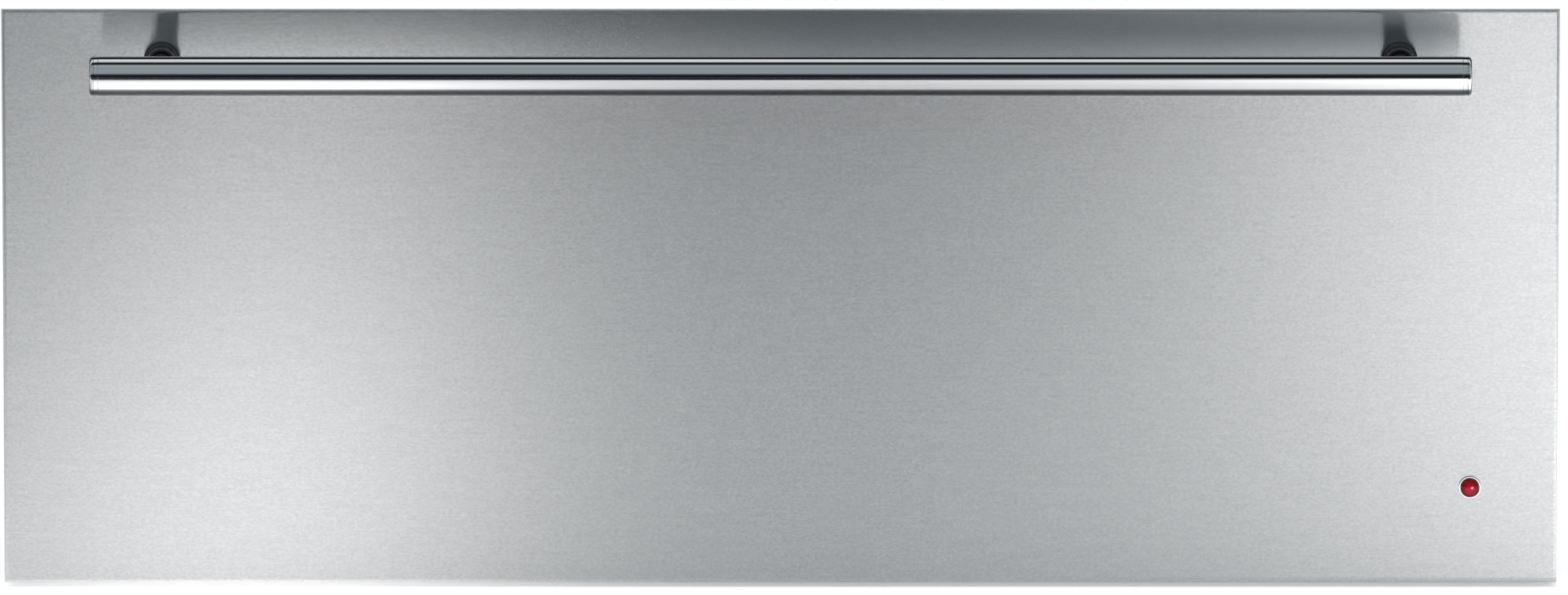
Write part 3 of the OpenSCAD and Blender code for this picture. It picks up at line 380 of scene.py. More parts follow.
# moulded plastic or rubber with a fine spark-eroded texture, polished by handling along its edges
def mouldedPlastic(name, **changes):
    user = dict(moulding, **changes)
    graph = newSurface(name)
    texture = graph.noise(user["grain"], 2.0)
    cloud = graph.noise(user["cloud"])
    soft, edge = graph.edges(user["edge"])
    body = graph.tone(cloud, user)
    light = shaded(user["colour"], user["edgeShade"])
    rough = user["rough"] + texture * user["grainRough"] + cloud * user["cloudRough"]
    rough = rough - edge * user["edgePolish"]
    return finishSurface(graph, {
        "Base Color": graph.colour(edge * user["edgeShare"], body, light),
        "Roughness": rough, "Coat Weight": user["coat"],
        "Normal": graph.relief(texture, user, soft)})


clear = {
    "shades": (0.85, 1.1), "flow": 180.0, "flowRough": 0.03, "through": 0.55, "ior": 1.49, "coat": 0.6,
    "coatRough": 0.03}


def clearPlastic(name, colour, rough=0.05, user=clear):
    graph = newSurface(name)
    flow = graph.noise(user["flow"], 2.0)
    return finishSurface(graph, {
        "Base Color": graph.shades(flow, colour, user["shades"]),
        "Roughness": rough + flow * user["flowRough"],
        "Transmission Weight": user["through"], "IOR": user["ior"],
        "Coat Weight": user["coat"], "Coat Roughness": user["coatRough"]})


lampLook = {
    "colour": (0.10, 0.001, 0.004), "shades": (0.85, 1.15), "flow": 180.0, "rough": 0.16,
    "flowRough": 0.05, "specular": 0.2, "coat": 0.08, "coatRough": 0.05, "unlit": (0.02, 0.0, 0.001),
    "glow": (0.36, 0.003, 0.024), "glowSize": 3.3 * mm, "glowDepth": 1.5 * mm, "lift": -0.5 * mm,
    "glowFade": [(0.25, 1.0), (1.0, 0.08)], "rimFade": [(0.35, 1.0), (0.62, 0.0)],
    "spot": (0.80, 0.30, 0.36), "spotSize": 0.75 * mm, "spotPlace": (0.9 * mm, 0.1 * mm),
    "spotFade": [(0.4, 1.0), (1.0, 0.0)]}


# a red dome that glows as a lit lamp, the glow set low in its middle and faded at the rim as painted shade,
# with a small pale spot that is a painted highlight
def lampRed(name, user=lampLook):
    graph = newSurface(name)
    coords = graph.add("TexCoord", output=3)
    rim = graph.add("LayerWeight", {"Blend": 0.5}, output=1)
    middle = (lampX, faceY - user["glowDepth"], lampZ + user["lift"])
    # the place of the painted highlight, a small pale spot right of the middle
    spot = (lampX + user["spotPlace"][0], lensLow.y, lampZ + user["spotPlace"][1])
    glow = graph.ramp(graph.measure("DISTANCE", coords, middle) / user["glowSize"], user["glowFade"], "EASE")
    paintedHighlight = graph.ramp(graph.measure("DISTANCE", coords, spot) / user["spotSize"], user["spotFade"], "EASE")
    flow = graph.noise(user["flow"], 2.0)
    glow = glow * graph.ramp(rim, user["rimFade"], "EASE")
    light = graph.colour(glow, user["unlit"], user["glow"])
    return finishSurface(graph, {
        "Base Color": graph.tone(flow, user),
        "Roughness": user["rough"] + flow * user["flowRough"], "Specular IOR Level": user["specular"],
        "Coat Weight": user["coat"], "Coat Roughness": user["coatRough"],
        "Emission Color": graph.colour(paintedHighlight, light, user["spot"]), "Emission Strength": 1.0})


wool = {
    "colour": (0.70, 0.62, 0.38), "shades": (0.6, 1.25), "fibres": 6.0, "stretch": (60, 400, 60),
    "cloud": 30.0, "rough": 0.85, "cloudRough": 0.1, "bump": 0.8, "depth": 1.5 * mm}


# mineral wool: pale fibres in layers
def mineralWool(name, user=wool):
    graph = newSurface(name)
    fibres = graph.noise(user["fibres"], 6.0, user["stretch"], 0.7)
    cloud = graph.noise(user["cloud"], 4.0)
    return finishSurface(graph, {
        "Base Color": graph.tone(fibres, user),
        "Roughness": user["rough"] + cloud * user["cloudRough"],
        "Normal": graph.relief(fibres, user)})


heated = {
    "tints": [(0.30, (0.10, 0.10, 0.12)), (0.48, (0.16, 0.14, 0.13)), (0.62, (0.24, 0.17, 0.10)),
              (0.80, (0.13, 0.13, 0.17))],
    "patches": 12.0, "grain": 500.0, "metallic": 0.9, "rough": 0.40, "grainRough": 0.12, "bump": 0.15,
    "depth": 0.1 * mm}


# steel that heat has tinted straw and blue
def heatTinted(name, user=heated):
    graph = newSurface(name)
    grain = graph.noise(user["grain"])
    return finishSurface(graph, {
        "Base Color": graph.ramp(graph.noise(user["patches"]), user["tints"]), "Metallic": user["metallic"],
        "Roughness": user["rough"] + grain * user["grainRough"],
        "Normal": graph.relief(grain, user)})


tubSteel = dict(brushing, tallRoughness=0.34, tallSpread=0.6, speckle=900.0)
lampChrome = dict(polish, stretch=(60.0,) * 3)
finishes = {
    "brushed_front": brushedSteel("brushedFront", extra=frontExtra),
    "polished_steel": polishedSteel("polishedTube", dark=paintedTubeShade),
    "lamp_chrome": polishedSteel("lampChrome", lampChrome),
    "black_collar": mouldedPlastic("collarBlack", colour=(0.012, 0.012, 0.014), rough=0.22, grain=900.0,
                                   bump=0.05, coat=0.4),
    "red_lens": lampRed("lensRed"),
    "clear_acrylic": clearPlastic("guideClear", (0.85, 0.90, 0.92)),
    "tub_steel": brushedSteel("tubSteel", tubSteel),
    "galvanised": galvanisedSheet("galvanisedSheet"),
    "zinc_plated": platedSteel("zincPlate"),
    "screw_steel": platedSteel("screwSteel", colour=(0.62, 0.62, 0.63), rough=0.22, stretch=(200.0,) * 3),
    "cage_steel": platedSteel("cageSteel", colour=(0.66, 0.58, 0.32), rough=0.3),
    "black_enamel": sprayedCoat("blackEnamel"),
    "black_plastic": mouldedPlastic("blackMoulding"),
    "rocker_plastic": mouldedPlastic("rockerPlastic", colour=(0.040, 0.040, 0.044), rough=0.28, grain=900.0,
                                     bump=0.05, coat=0.3),
    "led_red": clearPlastic("ledRed", (0.60, 0.02, 0.02), 0.1),
    "gasket_rubber": mouldedPlastic("gasketRubber", colour=(0.040, 0.040, 0.042), rough=0.62, grain=700.0,
                                    bump=0.3),
    "foot_rubber": mouldedPlastic("footRubber", colour=(0.024,) * 3, rough=0.7, grain=900.0, bump=0.4),
    "mat_rubber": mouldedPlastic("matRubber", colour=(0.060, 0.060, 0.063), rough=0.66, grain=1100.0,
                                 bump=0.4),
    "mineral_wool": mineralWool("mineralWool"),
    "cream_thermoset": mouldedPlastic("creamThermoset", colour=(0.64, 0.60, 0.50), rough=0.42),
    "motor_metal": platedSteel("motorLacquer", colour=(0.24, 0.25, 0.27), rough=0.42,
                               stretch=(4.0, 900.0, 4.0)),
    "heater_sheath": heatTinted("heaterSheath"),
    "red_sleeve": mouldedPlastic("redSleeve", colour=(0.36, 0.045, 0.04), rough=0.6, grain=1200.0, bump=0.5),
}
slotOf = {part["node"]: part["material_slot"] for part in frame["record"]["subparts"]}
for name, piece in nodes.items():
    piece.data.materials.clear()
    piece.data.materials.append(finishes[slotOf[name]])

# large sheets with a shallow pressed bead: the rectangle's corners and its two axes
pressedSheets = {
    "top_cover": ((-0.225, -0.19), (0.225, 0.24), 0, 1),
    "left_side_panel": ((-0.19, 0.045), (0.12, 0.18), 1, 2),
    "right_side_panel": ((-0.19, 0.045), (0.12, 0.18), 1, 2),
    "base_pan": ((-0.19, -0.17), (0.19, 0.21), 0, 1)}
for name, bead in pressedSheets.items():
    nodes[name].data.materials[0] = galvanisedSheet(name + "Sheet", beads=[bead])
print("finishes made:", len(finishes) + len(pressedSheets))


# turns round each closed shell whose faces point inwards
def turnOutwards(mesh):
    bmesh.ops.recalc_face_normals(mesh, faces=mesh.faces)
    waiting = set(mesh.faces)
    while waiting:
        shell, growing = set(), [waiting.pop()]
        while growing:
            face = growing.pop()
            shell.add(face)
            growing += {near for edge in face.edges for near in edge.link_faces if near in waiting}
            waiting -= set(growing)
        start = face.verts[0].co.copy()
        volume = sum(f.normal.dot(f.calc_center_median() - start) * f.calc_area() for f in shell)
        if volume < 0:
            bmesh.ops.reverse_faces(mesh, faces=list(shell))


# puts a bmesh or other data in the scene
def addObject(name, data):
    if isinstance(data, bmesh.types.BMesh):
        mesh, data = data, bpy.data.meshes.new(name)
        mesh.to_mesh(data)
        mesh.free()
    made = bpy.data.objects.new(name, data)
    bpy.context.scene.collection.objects.link(made)
    return made


# makes a finished bmesh a piece that rides on a body and stands for its CAD nodes
def addPiece(mesh, name, body, slot, replaced=(), smoothAngle=35, finish=None):
    bmesh.ops.remove_doubles(mesh, verts=mesh.verts, dist=0.002 * mm)
    turnOutwards(mesh)
    piece = addObject(name, mesh)
    data = piece.data
    for face in data.polygons:
        face.use_smooth = True
    data.set_sharp_from_angle(angle=math.radians(smoothAngle))
    data.materials.append(finish or finishes[slot])
    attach(piece, body)
    if replaced:
        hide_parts(*replaced)


# a box between two corners
def addBox(mesh, low, high):
    low, high = Vector(low), Vector(high)
    made = bmesh.ops.create_cube(mesh, size=1)["verts"]
    bmesh.ops.scale(mesh, vec=high - low, verts=made)
    bmesh.ops.translate(mesh, vec=(low + high) / 2, verts=made)
    return made


def roundEdges(mesh, edges, radius, segments):
    bmesh.ops.bevel(mesh, geom=list(edges), offset=radius, offset_type="OFFSET", affect="EDGES",
                    segments=segments, profile=0.5, material=-1, clamp_overlap=True)


def edgesOf(verts):
    return {edge for vert in verts for edge in vert.link_edges}


# turns a profile of (radius, distance) round an axis through a point
def addTurned(mesh, profile, centre, axis, steps=96):
    axis = Vector(axis).normalized()
    side = axis.orthogonal().normalized()
    verts = [mesh.verts.new(Vector(centre) + axis * along + side * radius) for radius, along in profile]
    edges = [mesh.edges.new(pair) for pair in zip(verts, verts[1:])]
    bmesh.ops.spin(mesh, geom=verts + edges, cent=centre, axis=axis, angle=math.tau, steps=steps,
                   use_merge=True, use_duplicate=False)
    bmesh.ops.remove_doubles(mesh, verts=mesh.verts, dist=0.0005 * mm)


# points of an arc, as (radius, distance) pairs
def arc(centreRadius, centreDistance, radius, start, end, steps=8):
    angles = [math.radians(start + (end - start) * i / steps) for i in range(steps + 1)]
    return [(centreRadius + radius * math.cos(a), centreDistance + radius * math.sin(a)) for a in angles]


# the drawer front
frontSkin = {"fold": 1.6 * mm, "sheet": 1.0 * mm, "segments": 8}


def makeFront(user=frontSkin):
    mesh = bmesh.new()
    verts = addBox(mesh, frontLow, frontHigh)
    rear = [face for face in mesh.faces if face.calc_center_median().y > backY - mm]
    bmesh.ops.delete(mesh, geom=rear, context="FACES_ONLY")
    front = [e for e in edgesOf(verts) if all(v.co.y < faceY + mm for v in e.verts)]
    roundEdges(mesh, front, user["fold"], user["segments"])
    bmesh.ops.recalc_face_normals(mesh, faces=mesh.faces)
    centre = (frontLow + frontHigh) / 2
    if any((f.calc_center_median() - centre).dot(f.normal) < 0 for f in mesh.faces if f.calc_area() > 0.01):
        bmesh.ops.reverse_faces(mesh, faces=mesh.faces)
    bmesh.ops.solidify(mesh, geom=mesh.faces[:], thickness=user["sheet"])
    addPiece(mesh, "frontSheet", "drawer", "brushed_front", ["front_panel"], 50)


makeFront()


# the handle
handleTube = {"wall": 1.5 * mm, "steps": 160, "edge": 0.1 * mm}


def makeTube(user=handleTube):
    mesh = bmesh.new()
    radius, edge = tubeRadius, user["edge"]
    inner = radius - user["wall"]
    length = tubeHigh.x - tubeLow.x
    profile = [(inner, 0), (radius - edge, 0), (radius, edge), (radius, length - edge),
               (radius - edge, length), (inner, length), (inner, 0)]
    addTurned(mesh, profile, (tubeLow.x, tubeY, postZ), (1, 0, 0), user["steps"])
    addPiece(mesh, "handleBar", "drawer", "polished_steel", ["handle_tube"], 30)


endCap = {
    "groove": 0.2 * mm, "grooveDepth": 0.15 * mm, "round": 1.3 * mm, "plugLength": 8.0 * mm,
    "smaller": 0.06 * mm, "plugGap": 0.1 * mm, "edge": 0.08 * mm, "steps": 128}


def makeEndCaps(user=endCap):
    mesh = bmesh.new()
    radius = tubeRadius - user["smaller"]
    length = capHigh.x - tubeHigh.x
    plug = tubeRadius - handleTube["wall"] - user["plugGap"]
    groove, depth, soft, edge = user["groove"], user["grooveDepth"], user["round"], user["edge"]
    for side, start in ((1, tubeHigh.x), (-1, tubeLow.x)):
        line = length - soft - 2 * groove
        profile = [(0, -user["plugLength"]), (plug, -user["plugLength"]), (plug, 0), (radius - edge, 0),
                   (radius, edge), (radius, line), (radius - depth, line + groove / 2),
                   (radius - depth, line + groove), (radius, line + groove * 1.5)]
        profile += arc(radius - soft, length - soft, soft, 0, 90) + [(0, length)]
        addTurned(mesh, profile, (start, tubeY, postZ), (side, 0, 0), user["steps"])
    addPiece(mesh, "handleCaps", "drawer", "polished_steel", ["handle_end_caps"], 30)


# the posts' polished steel is given a near-black colour: painted shade for the dark that they mirror
paintedShadePost = polishedSteel("postSteel", dict(polish, colour=(0.11, 0.115, 0.12),
                                           stretch=(900.0, 3.0, 900.0)))
post = {"edge": 0.4 * mm}


def makePosts(user=post):
    soft = user["edge"]
    radius = (postHigh.x - postLow.x) / 2
    length = postHigh.y - postLow.y
    for side, name in ((-1, "left"), (1, "right")):
        mesh = bmesh.new()
        profile = [(0, 0), (radius - soft, 0), (radius, soft), (radius, length), (0, length)]
        addTurned(mesh, profile, (side * postX, postLow.y, postZ), (0, 1, 0))
        addPiece(mesh, name + "Post", "drawer", "polished_steel", [name + "_handle_post"], 30, paintedShadePost)


collar = {"foot": 2.0 * mm, "neckWall": 1.1 * mm, "lip": 0.35 * mm, "gap": 0.1 * mm}


def makeCollars(user=collar):
    mesh = bmesh.new()
    outer = (collarHigh.z - collarLow.z) / 2
    bore = (postHigh.x - postLow.x) / 2 + user["gap"]
    neck = bore + user["neckWall"]
    length = collarHigh.y - collarLow.y
    flare = outer - neck
    lip = user["lip"]
    for side in (-1, 1):
        profile = [(bore, 0), (outer - lip, 0)] + arc(outer - lip, lip, lip, -90, 0, 4)
        profile += arc(outer, user["foot"] + flare, flare, -90, -180, 10)
        profile += [(neck, length - lip)] + arc(neck - lip, length - lip, lip, 0, 90, 4) + [(bore, length)]
        profile += [(bore, 0)]
        addTurned(mesh, profile, (side * postX, collarHigh.y, postZ), (0, -1, 0))
    addPiece(mesh, "handleCollars", "drawer", "black_collar", ["handle_collars"], 40)


makeTube()
makeEndCaps()
makePosts()
makeCollars()
print("front and handle made")


# the pilot lamp
lamp = {"rim": 0.6 * mm, "stemInset": 0.5 * mm, "ringRound": 0.25 * mm, "ringGap": 0.12 * mm}


def makeLamp(user=lamp):
    radius = (lensHigh.x - lensLow.x) / 2
    height = faceY - lensLow.y
    stem = lensHigh.y - faceY
    rise = height - user["rim"]
    ball = (radius * radius + rise * rise) / (2 * rise)
    spread = math.degrees(math.asin(radius / ball))
    mesh = bmesh.new()
    dome = arc(0, height - ball, ball, 90 - spread, 90, 14)
    neck = radius - user["stemInset"]
    profile = [(0, -stem), (neck, -stem), (neck, 0), (radius, 0)] + dome
    addTurned(mesh, profile, (lampX, faceY, lampZ), (0, -1, 0))
    addPiece(mesh, "lampLens", "drawer", "red_lens", ["lamp_lens"], 40)

    mesh = bmesh.new()
    ring = (bezelHigh.x - bezelLow.x) / 2
    proud = faceY - bezelLow.y
    soft = user["ringRound"]
    inner = radius + user["ringGap"]
    profile = [(inner, 0), (inner, proud - soft)] + arc(inner + soft, proud - soft, soft, 180, 90, 4)
    profile += arc(ring - soft, proud - soft, soft, 90, 0, 4) + [(ring, 0), (inner, 0)]
    addTurned(mesh, profile, (lampX, faceY, lampZ), (0, -1, 0))
    addPiece(mesh, "lampRing", "drawer", "lamp_chrome", ["lamp_bezel"], 40)


makeLamp()
print("lamp made")


# inside the front
blanket = {
    "cell": 9.0 * mm, "round": 5.0 * mm, "thickness": 0.96, "thinning": 0.45, "lumps": 0.9 * mm,
    "lumpScale": 28, "fibre": 0.35 * mm, "fibreScale": 150}


# a fibrous blanket: a soft-edged slab, pressed flat in its middle and uneven all over
def makeBlanket(user=blanket):
    low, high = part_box("insulation_pad")
    mesh = bmesh.new()
    addBox(mesh, low, high)
    size = high - low
    for axis in range(3):
        steps = max(2, round(size[axis] / user["cell"]))
        for i in range(1, steps):
            place = Vector((0, 0, 0))
            place[axis] = low[axis] + size[axis] * i / steps
            normal = Vector((0, 0, 0))
            normal[axis] = 1
            bmesh.ops.bisect_plane(mesh, geom=mesh.verts[:] + mesh.edges[:] + mesh.faces[:],
                                   plane_co=place, plane_no=normal, dist=1e-6)
    middle = (low + high) / 2
    for vert in mesh.verts:
        inset = min(vert.co.x - low.x, high.x - vert.co.x, vert.co.z - low.z, high.z - vert.co.z)
        rim = max(0.0, 1 - inset / user["round"])
        vert.co.y = middle.y + (vert.co.y - middle.y) * (user["thickness"] - user["thinning"] * rim * rim)
        sway = noise.noise(vert.co * user["lumpScale"]) * user["lumps"]
        sway += noise.noise(vert.co * user["fibreScale"]) * user["fibre"]
        pull = (vert.co - middle).normalized() * (abs(sway) + user["fibre"])
        vert.co -= Vector((pull.x, sway * 0.5 if abs(vert.co.y - middle.y) > mm else 0, pull.z))
    addPiece(mesh, "insulationBlanket", "drawer", "mineral_wool", ["insulation_pad"], 60)


gasket = {
    "width": 7.0 * mm, "foot": 0.8 * mm, "footEdge": 0.6, "bulbFrom": -50, "bulbTo": 230, "bulbSteps": 14,
    "corner": 9.0 * mm, "cornerSteps": 8}


# a silicone seal: a flat foot on the front and a hollow-looking bulb that meets the frame
def makeGasket(user=gasket):
    low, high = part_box("door_gasket")
    half, foot, corner = user["width"] / 2, user["foot"], user["corner"]
    mesh = bmesh.new()
    bulb = (high.y - low.y - foot) / 2
    profile = [(-half, 0), (half, 0), (half, foot * user["footEdge"])]
    profile += arc(0, foot + bulb, bulb, user["bulbFrom"], user["bulbTo"], user["bulbSteps"])
    profile += [(-half, foot * user["footEdge"])]
    x, top, bottom = high.x - half - corner, high.z - half - corner, low.z + half + corner
    path = []
    for centre, start in (((x, top), 0), ((-x, top), 90), ((-x, bottom), 180), ((x, bottom), 270)):
        path += [(centre, math.radians(start + 90 * i / user["cornerSteps"]))
                 for i in range(user["cornerSteps"] + 1)]
    rings = []
    for (x, z), angle in path:
        out = Vector((math.cos(angle), 0, math.sin(angle)))
        ring = [mesh.verts.new(Vector((x, low.y + d, z)) + out * (corner + across)) for across, d in profile]
        rings.append([mesh.edges.new(pair) for pair in zip(ring, ring[1:] + ring[:1])])
    for first, second in zip(rings, rings[1:] + rings[:1]):
        bmesh.ops.bridge_loops(mesh, edges=first + second)
    addPiece(mesh, "frontSeal", "drawer", "gasket_rubber", ["door_gasket"], 40)


makeBlanket()
makeGasket()
print("blanket and seal made")


# the controls
printWhite = mouldedPlastic("printWhite", colour=(0.74, 0.74, 0.72), rough=0.45, grain=2500.0, bump=0.05,
                            edge=0.05 * mm)

knob = {
    "skirt": 3.5 * mm, "skirtRound": 0.8 * mm, "skirtEdge": 0.5 * mm, "flutes": 40,
    "fluteDepth": 0.35 * mm, "hubInset": 3.4 * mm, "hubRise": 5.0 * mm, "hubRound": 0.6 * mm,
    "hubFillet": 0.5 * mm, "gripWidth": 7.0 * mm, "gripGap": 0.2 * mm, "draft": 0.88, "endDraft": 0.97,
    "round": 0.9 * mm, "line": 0.45 * mm, "lineIn": 2.0 * mm, "lineOut": 1.8 * mm, "lineDepth": 0.3 * mm,
    "lineRound": 0.1 * mm, "numberHeight": 2.1 * mm, "numbers": 7, "numberStep": 45.0,
    "numberOut": 0.15 * mm, "printDepth": 0.04 * mm}


def makeKnob(user=knob):
    low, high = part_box("thermostat_knob")
    radius = (high.x - low.x) / 2
    back = Vector(((low.x + high.x) / 2, high.y, (low.z + high.z) / 2))
    hub = radius - user["hubInset"]
    skirt, rise = user["skirt"], user["hubRise"]

    mesh = bmesh.new()
    outer, fillet, top = user["skirtRound"], user["hubFillet"], user["hubRound"]
    profile = [(0, 0), (radius - user["skirtEdge"], 0), (radius, 0.8 * user["skirtEdge"])]
    profile += [(radius, skirt - 1.25 * outer)] + arc(radius - outer, skirt - outer, outer, 0, 90, 5)
    profile += [(hub + fillet, skirt)] + arc(hub + fillet, skirt + fillet, fillet, -90, -180, 4)
    profile += arc(hub - top, rise - top, top, 0, 90, 5) + [(0, rise)]
    addTurned(mesh, profile, back, (0, -1, 0), user["flutes"] * 6)
    for vert in mesh.verts:
        across = Vector((vert.co.x - back.x, vert.co.z - back.z))
        if across.length > radius - 0.6 * user["skirtEdge"]:
            wave = 0.5 + 0.5 * math.cos(math.atan2(across.y, across.x) * user["flutes"])
            across *= 1 - user["fluteDepth"] * wave / radius
            vert.co.x, vert.co.z = back.x + across.x, back.z + across.y
    half, reach = user["gripWidth"] / 2, hub - user["gripGap"]
    grip = addBox(mesh, (back.x - half, low.y, back.z - reach),
                  (back.x + half, back.y - rise + top, back.z + reach))
    proud = [vert for vert in grip if vert.co.y < (low.y + back.y - rise) / 2]
    for vert in proud:
        vert.co.x = back.x + (vert.co.x - back.x) * user["draft"]
        vert.co.z = back.z + (vert.co.z - back.z) * user["endDraft"]
    roundEdges(mesh, edgesOf(proud), user["round"], 5)
    addPiece(mesh, "dialKnob", "dial", "black_plastic", ["thermostat_knob"], 30)

    mesh = bmesh.new()
    line = addBox(mesh, (back.x - user["line"], low.y, back.z + user["lineIn"]),
                  (back.x + user["line"], low.y + user["lineDepth"], back.z + hub - user["lineOut"]))
    rim = [e for e in edgesOf(line) if all(v.co.y < low.y + user["lineDepth"] / 2 for v in e.verts)]
    roundEdges(mesh, rim, user["lineRound"], 2)
    addPiece(mesh, "dialPointer", "dial", "cream_thermoset", (), 40, printWhite)

    # turning the dial clockwise brings up the next number
    reach = (hub + radius) / 2 + user["numberOut"]
    for i in range(user["numbers"]):
        angle = math.radians(90 + i * user["numberStep"])
        text = bpy.data.curves.new("dialNumber", "FONT")
        text.body = str(i)
        text.size = user["numberHeight"]
        text.align_x, text.align_y = "CENTER", "CENTER"
        text.extrude = user["printDepth"]
        maker = addObject("dialNumber", text)
        flat = bpy.data.meshes.new_from_object(maker.evaluated_get(bpy.context.evaluated_depsgraph_get()))
        bpy.data.objects.remove(maker)
        mesh = bmesh.new()
        mesh.from_mesh(flat)
        lift = skirt + user["printDepth"] / 2
        place = back + Vector((reach * math.cos(angle), -lift, reach * math.sin(angle)))
        turn = Matrix.Rotation(-(angle - math.pi / 2), 4, "Y") @ Matrix.Rotation(math.pi / 2, 4, "X")
        bmesh.ops.transform(mesh, matrix=Matrix.Translation(place) @ turn, verts=mesh.verts)
        addPiece(mesh, "dialNumber%d" % i, "dial", "cream_thermoset", (), 20, printWhite)
    return back


index = {"size": 2.2 * mm, "gap": 1.4 * mm, "depth": 0.08 * mm, "panelWall": 1.5 * mm}


# a small pale arrow printed over the dial
def makeIndex(centre, user=index):
    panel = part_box("control_moulding")[1].y - user["panelWall"]
    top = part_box("thermostat_knob")[1].z + user["gap"]
    mesh = bmesh.new()
    made = bmesh.ops.create_cone(mesh, cap_ends=True, segments=3, radius1=user["size"] / 2,
                                 radius2=user["size"] / 2, depth=user["depth"])["verts"]
    turn = Matrix.Rotation(math.pi, 4, "Y") @ Matrix.Rotation(math.pi / 2, 4, "X")
    place = Matrix.Translation((centre.x, panel, top + user["size"] / 3))
    bmesh.ops.transform(mesh, matrix=place @ turn, verts=made)
    addPiece(mesh, "dialIndex", "housing", "cream_thermoset", (), 20, printWhite)


rocker = {
    "tilt": 8.0, "depth": 8.5 * mm, "half": 8.0 * mm, "dish": 1.0 * mm, "pivotIn": 6.0 * mm,
    "markSize": 3.2 * mm, "line": 0.35 * mm, "thick": 0.03 * mm, "sink": 0.02 * mm, "steps": 32}


# a line for on and a ring for off, standing a hair above the two faces of the rocker
def makeRockerMarks(user=rocker):
    low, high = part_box("rocker_button")
    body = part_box("switch_body")
    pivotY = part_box("control_moulding")[1].y + user["pivotIn"]
    centre = Vector(((low.x + high.x) / 2, pivotY, (body[0].z + body[1].z) / 2))
    tilt = Matrix.Translation(centre) @ Matrix.Rotation(math.radians(user["tilt"]), 4, "X")
    slope = math.atan(user["dish"] / user["half"])
    outer, line, thick = user["markSize"] / 2, user["line"], user["thick"]
    inner = outer - 2 * line
    for name, side in (("On", 1), ("Off", -1)):
        mesh = bmesh.new()
        if name == "On":
            addBox(mesh, (-line, -thick, -outer), (line, thick, outer))
        else:
            profile = [(inner, -thick), (outer, -thick), (outer, thick), (inner, thick), (inner, -thick)]
            addTurned(mesh, profile, (0, 0, 0), (0, 1, 0), user["steps"])
        above = -user["depth"] + user["dish"] / 2 - user["sink"]
        face = tilt @ Matrix.Translation((0, above, side * user["half"] / 2))
        bmesh.ops.transform(mesh, matrix=face @ Matrix.Rotation(side * slope, 4, "X"), verts=mesh.verts)
        addPiece(mesh, "rockerMark" + name, "rocker", "cream_thermoset", (), 20, printWhite)


makeIndex(makeKnob())
makeRockerMarks()
print("dial and switch made")


# the terminal box
lid = {
    "plate": 1.5 * mm, "corner": 1.2 * mm, "edge": 0.5 * mm, "border": 4.0 * mm, "sink": 0.5 * mm,
    "clip": (12.0 * mm, 1.2 * mm), "clipIn": 2.25 * mm, "clipRoot": 0.1 * mm, "ribs": 5,
    "ribWidth": 1.6 * mm, "ribIn": 12.0 * mm, "ribRoot": 0.2 * mm, "ribUnder": 0.02 * mm,
    "ribRound": 0.3 * mm}
lidScrew = {
    "in": 12.0 * mm, "head": 2.6 * mm, "seat": 0.3 * mm, "flat": 0.35 * mm, "top": 0.45 * mm,
    "chamfer": 0.2 * mm, "socket": 0.75 * mm, "bottom": 0.6 * mm, "deep": 0.1 * mm, "steps": 48}


# a moulded lid with a sunk field, grip ribs and two countersunk screws
def makeLid(user=lid, screw=lidScrew):
    low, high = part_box("terminal_cover")
    plate = high.y - user["plate"]
    mesh = bmesh.new()
    slab = addBox(mesh, (low.x, plate, low.z), high)
    face = max(mesh.faces, key=lambda f: f.calc_center_median().y)
    bmesh.ops.inset_region(mesh, faces=[face], thickness=user["border"], depth=0)
    bmesh.ops.inset_region(mesh, faces=[face], thickness=user["sink"], depth=-user["sink"])
    corners = [e for e in edgesOf(slab) if abs(e.verts[0].co.y - e.verts[1].co.y) > mm]
    roundEdges(mesh, corners, user["corner"], 5)
    rim = [e for e in mesh.edges if all(v.co.y > high.y - touch for v in e.verts)
           and any(abs(f.normal.y) < 0.1 for f in e.link_faces)]
    roundEdges(mesh, rim, user["edge"], 4)
    middle = (low + high) / 2
    half, thick = user["clip"][0] / 2, user["clip"][1]
    for z in (low.z + user["clipIn"], high.z - user["clipIn"] - thick):
        addBox(mesh, (middle.x - half, low.y, z), (middle.x + half, plate + user["clipRoot"], z + thick))
    half, inset = user["ribWidth"] / 2, user["ribIn"]
    root, crest = high.y - user["sink"] - user["ribRoot"], high.y - user["ribUnder"]
    for i in range(user["ribs"]):
        x = middle.x + (i - (user["ribs"] - 1) / 2) * 4 * half
        rib = addBox(mesh, (x - half, root, low.z + inset), (x + half, crest, high.z - inset))
        top = [e for e in edgesOf(rib) if all(v.co.y > crest - touch for v in e.verts)]
        roundEdges(mesh, top, user["ribRound"], 3)
    addPiece(mesh, "terminalLid", "housing", "black_plastic", ["terminal_cover"])

    mesh = bmesh.new()
    head, top = screw["head"], screw["top"]
    profile = [(0, -screw["seat"]), (head / 2, -screw["seat"]), (head, 0), (head, screw["flat"]),
               (head - screw["chamfer"], top), (screw["socket"], top), (screw["bottom"], -screw["deep"]),
               (0, -screw["deep"])]
    for x in (low.x + screw["in"], high.x - screw["in"]):
        addTurned(mesh, profile, (x, high.y - user["sink"], middle.z), (0, 1, 0), screw["steps"])
    addPiece(mesh, "lidScrews", "housing", "screw_steel")


makeLid()
print("terminal lid made")


# the picture that the camera stands for, in pixels
photoWidth, photoHeight = 1992, 756
photo = {"panelLeft": 3.5, "panelRight": 1980.0, "panelTop": 12.0, "panelBottom": 742.0}
camera = {"down": 10.4, "distance": 8.0, "sensor": 36.0}


